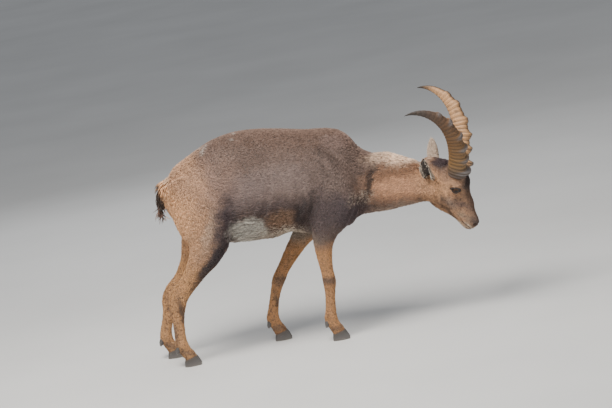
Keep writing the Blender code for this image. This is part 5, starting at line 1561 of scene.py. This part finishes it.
eye_finish, wire, shader = new_material("wet_eye")
along, above, facing = wire.value("along_lids"), wire.value("above_lids"), wire.value("facing")
reach = (along * along + above * above) ** 0.5
spoke = along.node("ShaderNodeCombineXYZ", {},
                   {0: along.calc("ARCTAN2", above, along) * 3.0, 1: reach * 160.0})
iris = spoke.noise(3.0, 3.0).between((0.03, 0.012, 0.005), (0.08, 0.034, 0.011))
pupil = (((along.size() / 0.0062) ** 4.0) + ((above.size() / 0.003) ** 4.0)).step(1.15, 0.85)
iris = iris.tint((0.004, 0.003, 0.003), pupil)
iris = iris.tint((0.02, 0.012, 0.009), reach.step(0.0084, 0.0096))
feed(shader, Base_Color=iris.tint((0.02, 0.012, 0.009), 1.0 - facing.step(0.0, 0.2)))
fix(shader, Roughness=0.3, Specular_IOR_Level=0.2, Coat_Weight=0.45, Coat_Roughness=0.03)

rim_finish, wire, shader = new_material("lid_rim")
grain = wire.place().noise(900.0, 2.0)
feed(shader, Base_Color=grain.ramp((0.3, (0.02, 0.014, 0.012)), (0.7, (0.045, 0.032, 0.027))),
     Normal=grain.relief(0.3, 0.0004))
fix(shader, Roughness=0.38)
eyes, rims = {}, {}
for side, sign in SIDE.items():
    eyes[side] = eyeball(side, sign)
    eyes[side].data.materials.append(eye_finish)
    rims[side] = lid_rim(side, sign)
    rims[side].data.materials.append(rim_finish)
print("eyes", [len(e.data.polygons) for e in eyes.values()])

# %% [markdown]
# ## Horns
#
# An ibex's horn is broad in front, narrow behind, swept back in one arc, with a knob across its front
# for each half year or so, and dozens of fine rings where it grew a little each week. The horn could be
# a curve with a profile, but its section changes all the way, so it is lofted ring by ring. Each point
# keeps how far along it is, how much knob it has, how far it faces inwards and where it lies on a rib.

# %% Horns
HORN_LENGTH = 0.385
HORN_START = math.radians(144.0)
HORN_SWEEP = math.radians(118.0)
HORN_CURL = 1.87
HORN_SPREAD = math.radians(20.0)
HORN_HALF_DEPTH = 0.03
HORN_HALF_WIDTH = 0.023
HORN_TAPER = 2.3
KNOB_PLACES = (0.06, 0.185, 0.305, 0.43, 0.585, 0.7)
KNOB_SIZES = (1.5, 0.92, 1.06, 0.95, 1.0, 0.8)
KNOB_HEIGHT = 0.0118
KNOB_REACH = 0.01
KNOB_WIDTH = 0.0034


def ripple(s):
    """Growth rings as two waves: uneven ribs, and finer rings on them, shallower towards the tip."""
    rib = math.sin(2.0 * math.pi * 27.0 * (s + 0.006 * math.sin(19.0 * s)))
    fade = max(1.0 - s, 0.0) ** 0.8
    return rib, (0.001 * abs(rib) ** 0.7 * math.copysign(1.0, rib)
                 + 0.0003 * math.sin(2.0 * math.pi * 88.0 * s + 1.3)) * fade


def knob_share(s):
    """How much knob there is at a share of the horn's length."""
    total = 0.0
    for at, size in zip(KNOB_PLACES, KNOB_SIZES):
        far = (s - at) * HORN_LENGTH / KNOB_REACH
        far *= 0.85 if far < 0.0 else 1.15
        total += size * math.exp(-abs(far) ** 2.6) * (1.0 - 0.45 * at)
    return total


def horn(name, sign, rows=300, sides=44):
    """One horn, laid ring by ring, which carries what its colours need."""
    muzzle, left, forehead = head_direction(1, 0, 0), head_direction(0, 1, 0), head_direction(0, 0, 1)
    place = head_point(*on_side(HORN_ROOT, sign))
    rings, values = [], []
    for i in range(rows + 1):
        s = i / rows
        angle = HORN_START + HORN_SWEEP * s ** HORN_CURL
        way = muzzle * math.cos(angle) + forehead * math.sin(angle)
        way = (way * math.cos(HORN_SPREAD) + left * sign * math.sin(HORN_SPREAD)).normalized()
        front = left.cross(way).normalized()
        if front.dot(forehead * math.cos(angle) * -1.0 + muzzle * math.sin(angle)) < 0.0:
            front = -front
        side = way.cross(front).normalized() * sign
        size = 1.02 - s ** HORN_TAPER + 0.07 * math.exp(-(s / 0.07) ** 2)
        knob = knob_share(s)
        ring = []
        for c, sn in around(sides):
            rib, wave = ripple(s + 0.0035 * sn)
            deep = HORN_HALF_DEPTH * size + wave
            wide = (HORN_HALF_WIDTH * size + wave) * (1.0 + 0.16 * sn)
            lump = knob * (1.0 + 0.1 * math.sin(5.0 * c + 7.0 * s))
            along = fuller(sn, 0.85) * deep + lump * KNOB_HEIGHT * size ** 0.5 * max(sn, 0.0) ** 0.7
            across = fuller(c, 0.85) * wide + knob * KNOB_WIDTH * c * (0.3 + 0.7 * max(sn, 0.0)) * size
            ring.append(place + side * across + front * along)
            values.append((s, min(knob * max(sn + 0.35, 0.0), 1.0), -c, rib))
        rings.append(ring)
        place = place + way * HORN_LENGTH / rows
    made = loft(rings, name)
    along, knob, inner, rib = zip(*values, values[0], values[-1])
    note(made.data, along=along, knob=knob, inner=inner, rib=rib)
    return made


horn_finish, wire, shader = new_material("ringed_horn")
here = wire.place()
along, knob, inner, rib = (wire.value(name) for name in ("along", "knob", "inner", "rib"))
cloud, grain = here.noise(42.0, 4.0), here.noise(420.0, 3.0)
rings = ((along + 0.004 * cloud) * 430.0).wave() * 0.5 + 0.5
colour = along.ramp((0.0, (0.09, 0.066, 0.058)), (0.07, (0.12, 0.078, 0.048)), (0.13, (0.24, 0.135, 0.05)),
                    (0.36, (0.17, 0.086, 0.03)), (0.6, (0.115, 0.058, 0.027)), (0.84, (0.055, 0.04, 0.032)),
                    (1.0, (0.03, 0.025, 0.022)))
colour = colour.tint((0.62, 0.345, 0.165), inner.step(-0.1, 0.9) * along.step(0.97, 0.76) * 0.8)
colour = colour.tint((0.165, 0.15, 0.15), knob.step(0.3, 0.85) * inner.step(0.5, -0.2) * 0.8)
colour = colour.tint((0.072, 0.046, 0.03), rib.step(-0.25, -0.85) * 0.8 * (1.0 - along))
colour = colour.tint((0.072, 0.04, 0.022), rings.step(0.4, 0.05) * 0.35 * (1.0 - along))
colour = colour.tint((0.085, 0.058, 0.04), cloud.step(0.56, 0.74) * 0.55)
colour = colour.tint((0.42, 0.36, 0.29), grain.step(0.62, 0.8) * 0.35)
feed(shader, Base_Color=colour, Roughness=0.46 + 0.22 * cloud,
     Normal=(rings * 0.6 + grain * 0.5).relief(0.55, 0.0007))
fix(shader, Specular_IOR_Level=0.4)
horns = {}
for side, sign in SIDE.items():
    horns[side] = horn("ringed_horn_" + side, sign)
    horns[side].data.materials.append(horn_finish)
print("horn faces", len(horns["left"].data.polygons))

# %% [markdown]
# ## Ears
#
# The ear is a leaf of skin rolled into a cup. It is lofted as a thin closed shell, then dressed by the
# same tree as the body: short hair outside, pale longer hair inside along the rims.

# %% Ears
EAR_ROOT = (0.03, 0.04, -0.036)
EAR_WAY = {"left": (-0.79, 0.5, 0.26), "right": (-0.77, 0.62, 0.22)}
EAR_MOUTH = {"left": (0.2, 0.86, -0.3), "right": (0.2, 0.9, -0.3)}
EAR_LENGTH = 0.116
EAR_HALF_WIDTH = 0.0195
EAR_WALL = 0.0034


EAR_ROWS, EAR_COLUMNS = 54, 29


def ear(side, sign):
    """One ear as a thin closed cup, which carries its hair's values."""
    root = head_point(*on_side(EAR_ROOT, sign))
    way = head_direction(*on_side(EAR_WAY[side], sign))
    mouth = square_to(head_direction(*on_side(EAR_MOUTH[side], sign)), way)
    edge = way.cross(mouth).normalized()
    rings, values = [], []
    for i in range(EAR_ROWS + 1):
        u = i / EAR_ROWS
        if u < 0.5:
            leaf = 0.42 + 0.58 * math.sin(math.pi * (u / 0.92) ** 0.85)
        else:
            leaf = math.sin(math.pi * (0.5 + 0.5 * ((u - 0.5) / 0.5) ** 1.25)) ** 0.72
        width = max(EAR_HALF_WIDTH * leaf, 0.0022)
        cup = width * (1.25 - 0.65 * u)
        middle = root + way * EAR_LENGTH * u + mouth * (0.01 * math.sin(math.pi * u) - 0.006)
        inner, outer, within, without = [], [], [], []
        for k in range(EAR_COLUMNS):
            v = -1.0 + 2.0 * k / (EAR_COLUMNS - 1)
            wall = EAR_WALL * (1.2 - 0.55 * u) * (1.0 - 0.72 * abs(v) ** 3) * 0.72
            ridge = 0.0009 * math.cos(v * 9.5) * (1.0 - abs(v)) * math.sin(math.pi * min(u * 1.1, 1.0))
            point = middle + edge * width * math.sin(v * 1.35) / math.sin(1.35) + mouth * cup * abs(v) ** 2.2
            slope = (edge + mouth * cup / width * 2.2 * abs(v) ** 1.2 * math.copysign(1.0, v)).normalized()
            square = way.cross(slope).normalized()
            if square.dot(mouth) > 0.0:
                square = -square
            inner.append(point - square * (wall * 0.5 + ridge))
            outer.append(point + square * wall * 0.5)
            within.append((1.0, abs(v)))
            without.append((0.0, abs(v)))
        rings.append(inner + outer[::-1])
        values += within + without[::-1]
    made = loft(rings, "ear_cup_" + side)
    inside, rim = np.array(values + [values[0], values[-1]]).T
    within = inside > 0.5
    square = normals(made.data)
    length = np.where(within, 0.01 + 0.012 * rim, 0.0075)
    wide = np.where(within, 0.0014, 0.0018)
    thick = np.where(within, np.clip(rim * 2.4 - 1.5, 0.02, 0.9), 1.5)
    lie = flattened(np.repeat(np.array(way)[None], len(square), 0), square)
    write(made.data, "lie", "FLOAT_VECTOR", "POINT", lie)
    note(made.data, inside=inside, rim=rim, hair_length=length, hair_width=wide,
         hair_lift=np.where(within, 0.3, 0.16), per_area=thick / (TUFT_AREA * length * wide))
    write(made.data, "zone", "INT", "FACE", np.zeros(len(made.data.polygons), np.int32))
    return made


def ear_material(name, hair):
    """Skin of the ear, dark inside, or its hair."""
    material, wire, shader = new_material(name)
    inside, cloud = wire.value("inside"), wire.place().noise(120.0, 3.0)
    outer = cloud.between((0.48, 0.36, 0.27), (0.64, 0.51, 0.4))
    if hair:
        own = wire.value("shade")
        colour = outer.tint((0.6, 0.53, 0.44), inside * 0.9).shift("MULTIPLY", (0.75 + 0.4 * own).grey())
        feed(shader, Base_Color=colour, Roughness=0.62 + 0.2 * own)
    else:
        rim = wire.value("rim")
        colour = outer.tint((0.035, 0.026, 0.024), inside * (1.0 - rim * rim * 0.4))
        feed(shader, Base_Color=colour.tint((0.06, 0.044, 0.038), rim.step(0.9, 1.0) * 0.7),
             Normal=cloud.relief(0.3, 0.0006))
        fix(shader, Roughness=0.62)
    return material


ear_finish, ear_hair_finish = ear_material("ear_skin", False), ear_material("ear_hair", True)
ears, ear_coats = {}, {}
for side, sign in SIDE.items():
    shell = ear(side, sign)
    shell.data.materials.append(ear_finish)
    shell.data.uv_layers.new(name="OFBake")
    columns, rows = 2 * EAR_COLUMNS, EAR_ROWS + 1
    corner = shell.data.uv_layers["OFBake"].data
    for loop in shell.data.loops:
        row, k = divmod(min(loop.vertex_index, rows * columns - 1), columns)
        corner[loop.index].uv = (0.02 + 0.9 * k / columns, 0.02 + 0.9 * row / rows)
    ears[side] = shell
    ear_coats[side] = grow_coat("coat_ear_" + side, shell, 0, 71, 1.0, short_tuft, ear_hair_finish)
for shape in (short_tuft, long_tuft):
    drop(shape)
print("ears", len(ears))

# %% [markdown]
# ## Hooves
#
# Each foot stands on two claws of grey horn, with two small dewclaws behind. The claw is a loft of
# level rings: flat sole, rounded toe, and a coronet that slopes back. Fine ridges run round it, as the
# horn grows down from the coronet, and its lower edge is worn paler.

# %% Claws and dewclaws
CLAW_HALF_WIDTH = 0.0125
CLAW_SPLIT = 0.004
DEWCLAW_LENGTH = 0.026
DEWCLAW_RADIUS = 0.0105
CLAW_ROWS = ((0.0, 0.455, 0.495, 0.94), (0.03, 0.47, 0.52, 0.985), (0.1, 0.48, 0.53, 1.0),
             (0.5, 0.455, 0.43, 0.97), (0.88, 0.425, 0.315, 0.91), (1.0, 0.4, 0.27, 0.84))


def claw_rings(foot, sign, steps=9, sides=40):
    """One claw from the sole up."""
    x, y, back = FEET[foot]
    rings, levels = [], []
    for height, rear, toe, wide in curve_rows(CLAW_ROWS, steps):
        ring = []
        grow = 0.00022 * math.sin(height * 58.0) * (1.0 if 0.06 < height < 0.97 else 0.0)
        for c, s in around(sides):
            along = c * (CLAW_LENGTH * (toe if c > 0.0 else rear) + grow)
            across = fuller(s, 0.8) * (CLAW_HALF_WIDTH * wide + grow)
            if c > 0.2:
                across = across * (1.0 - 0.3 * (c - 0.2)) - 0.1 * CLAW_HALF_WIDTH * (c - 0.2)
            lift = max(height, 0.0) * (CLAW_HEIGHT + 0.3 * (along - 0.28 * CLAW_LENGTH))
            out = sign * (CLAW_SPLIT * 0.5 + CLAW_HALF_WIDTH + across)
            ring.append(floor_point(x + along, y + out, lift))
            levels.append(height)
        rings.append(ring)
    return rings, levels


def joined(parts, name):
    """One object of several closed forms given as points, faces and a value for each point."""
    points, faces, values = [], [], []
    for some, sides, value in parts:
        faces += [tuple(i + len(points) for i in face) for face in sides]
        points += some
        values += value
    made = object_of(points, faces, name)
    note(made.data, level=values)
    return made


def dewclaw_rings(foot, sign, rows=12, sides=18):
    """A blunt cone of horn behind the fetlock, pointing down and back."""
    x, y, back = FEET[foot]
    way = Vector((-0.42, 0.0, -0.91)).normalized()
    side = Vector((0.0, 1.0, 0.0))
    front = way.cross(side)
    top = floor_point(back + 0.008, y + sign * 0.0125, 0.074)
    rings, levels = [], []
    for i in range(rows + 1):
        u = i / rows
        size = math.sin(math.pi * (0.16 + 0.8 * u)) ** 0.6 * (1.0 - 0.25 * u)
        rings.append([top + way * DEWCLAW_LENGTH * u + side * c * DEWCLAW_RADIUS * 0.8 * size
                      + front * s * DEWCLAW_RADIUS * 0.92 * size for c, s in around(sides)])
        levels += [1.0 - u] * sides
    return rings, levels


claw_parts, dewclaw_parts = [], []
for foot in FEET:
    for sign in (1.0, -1.0):
        for maker, store in ((claw_rings, claw_parts), (dewclaw_rings, dewclaw_parts)):
            rings, levels = maker(foot, sign)
            some, sides = loft_parts(rings)
            store.append(([Vector(p) for p in some], sides, levels + [levels[0], levels[-1]]))
hooves, dewclaws = joined(claw_parts, "hooves"), joined(dewclaw_parts, "dewclaws")
hoof_finish, wire, shader = new_material("grey_hoof_horn")
cloud, grain = wire.place().noise(70.0, 4.0), wire.place().noise(600.0, 2.0)
colour = (wire.value("level") + 0.1 * (cloud - 0.5)).ramp(
    (0.0, (0.2, 0.18, 0.155)), (0.1, (0.13, 0.118, 0.108)), (0.55, (0.085, 0.078, 0.075)),
    (0.9, (0.07, 0.058, 0.05)), (1.0, (0.1, 0.072, 0.052)))
feed(shader, Base_Color=colour.tint((0.24, 0.215, 0.185), cloud.step(0.6, 0.76) * 0.5),
     Roughness=0.42 + 0.3 * cloud, Normal=grain.relief(0.35, 0.0004))
hooves.data.materials.append(hoof_finish)
dewclaws.data.materials.append(hoof_finish)
print("hoof faces", len(hooves.data.polygons), "dewclaw faces", len(dewclaws.data.polygons))

# %% [markdown]
# ## Riding and replacing
#
# Every piece rides on the one body of this still model, and stands for the solids whose place it takes.
# The skin stands for all the flesh at once, which is why no seam shows.

# %% Rides and replacements, with slots that are listed but not given
FLESH = ["torso", "neck", "head", "tail"] + [kind + "_" + part + "_leg_" + side for kind in ("fore", "hind")
                                             for part in ("upper", "lower") for side in ("left", "right")]
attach(skin, "root")
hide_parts(*FLESH)
SLOTS = {"coat_head": "face", "coat_tail": "tail", "coat_forelegs": "leg", "coat_hindlegs": "leg"}
for coat in coats:
    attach(coat, "root")
    SLOTS.get(coat.name, "hide")
for side in SIDE:
    for piece, slot in ((eyes[side], "eye"), (rims[side], "eye"), (horns[side], "horn"), (ears[side], "ear"),
                        (ear_coats[side], "ear")):
        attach(piece, "root")
    for piece, node in ((eyes[side], "eye_"), (horns[side], "horn_"), (ears[side], "ear_")):
        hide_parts(node + side)
for piece, kind in ((hooves, "_claw_"), (dewclaws, "_dewclaw_")):
    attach(piece, "root")
    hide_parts(*[foot + kind + name for foot in FEET for name in ("outer", "inner")])
for name in ("zone", "per_area", "lie", "hair_length", "hair_width", "hair_lift"):
    for piece in (skin, *ears.values()):
        if name in piece.data.attributes:
            piece.data.attributes.remove(piece.data.attributes[name])
print("pieces", 1 + len(coats) + 5 * len(SIDE) + 2)

# %% [markdown]
# ## Measuring
#
# Last, the box of the dressed model is set beside the box of the solids. Tufts may stand a little
# proud of the solids, but the animal must not have grown.

# %% Boxes
NEW_BOX = [list(corner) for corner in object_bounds()]
print("solids ", [round(v, 3) for corner in CAD_BOX for v in corner])
print("dressed", [round(v, 3) for corner in NEW_BOX for v in corner])
print("seconds", round(time.time() - START, 1))
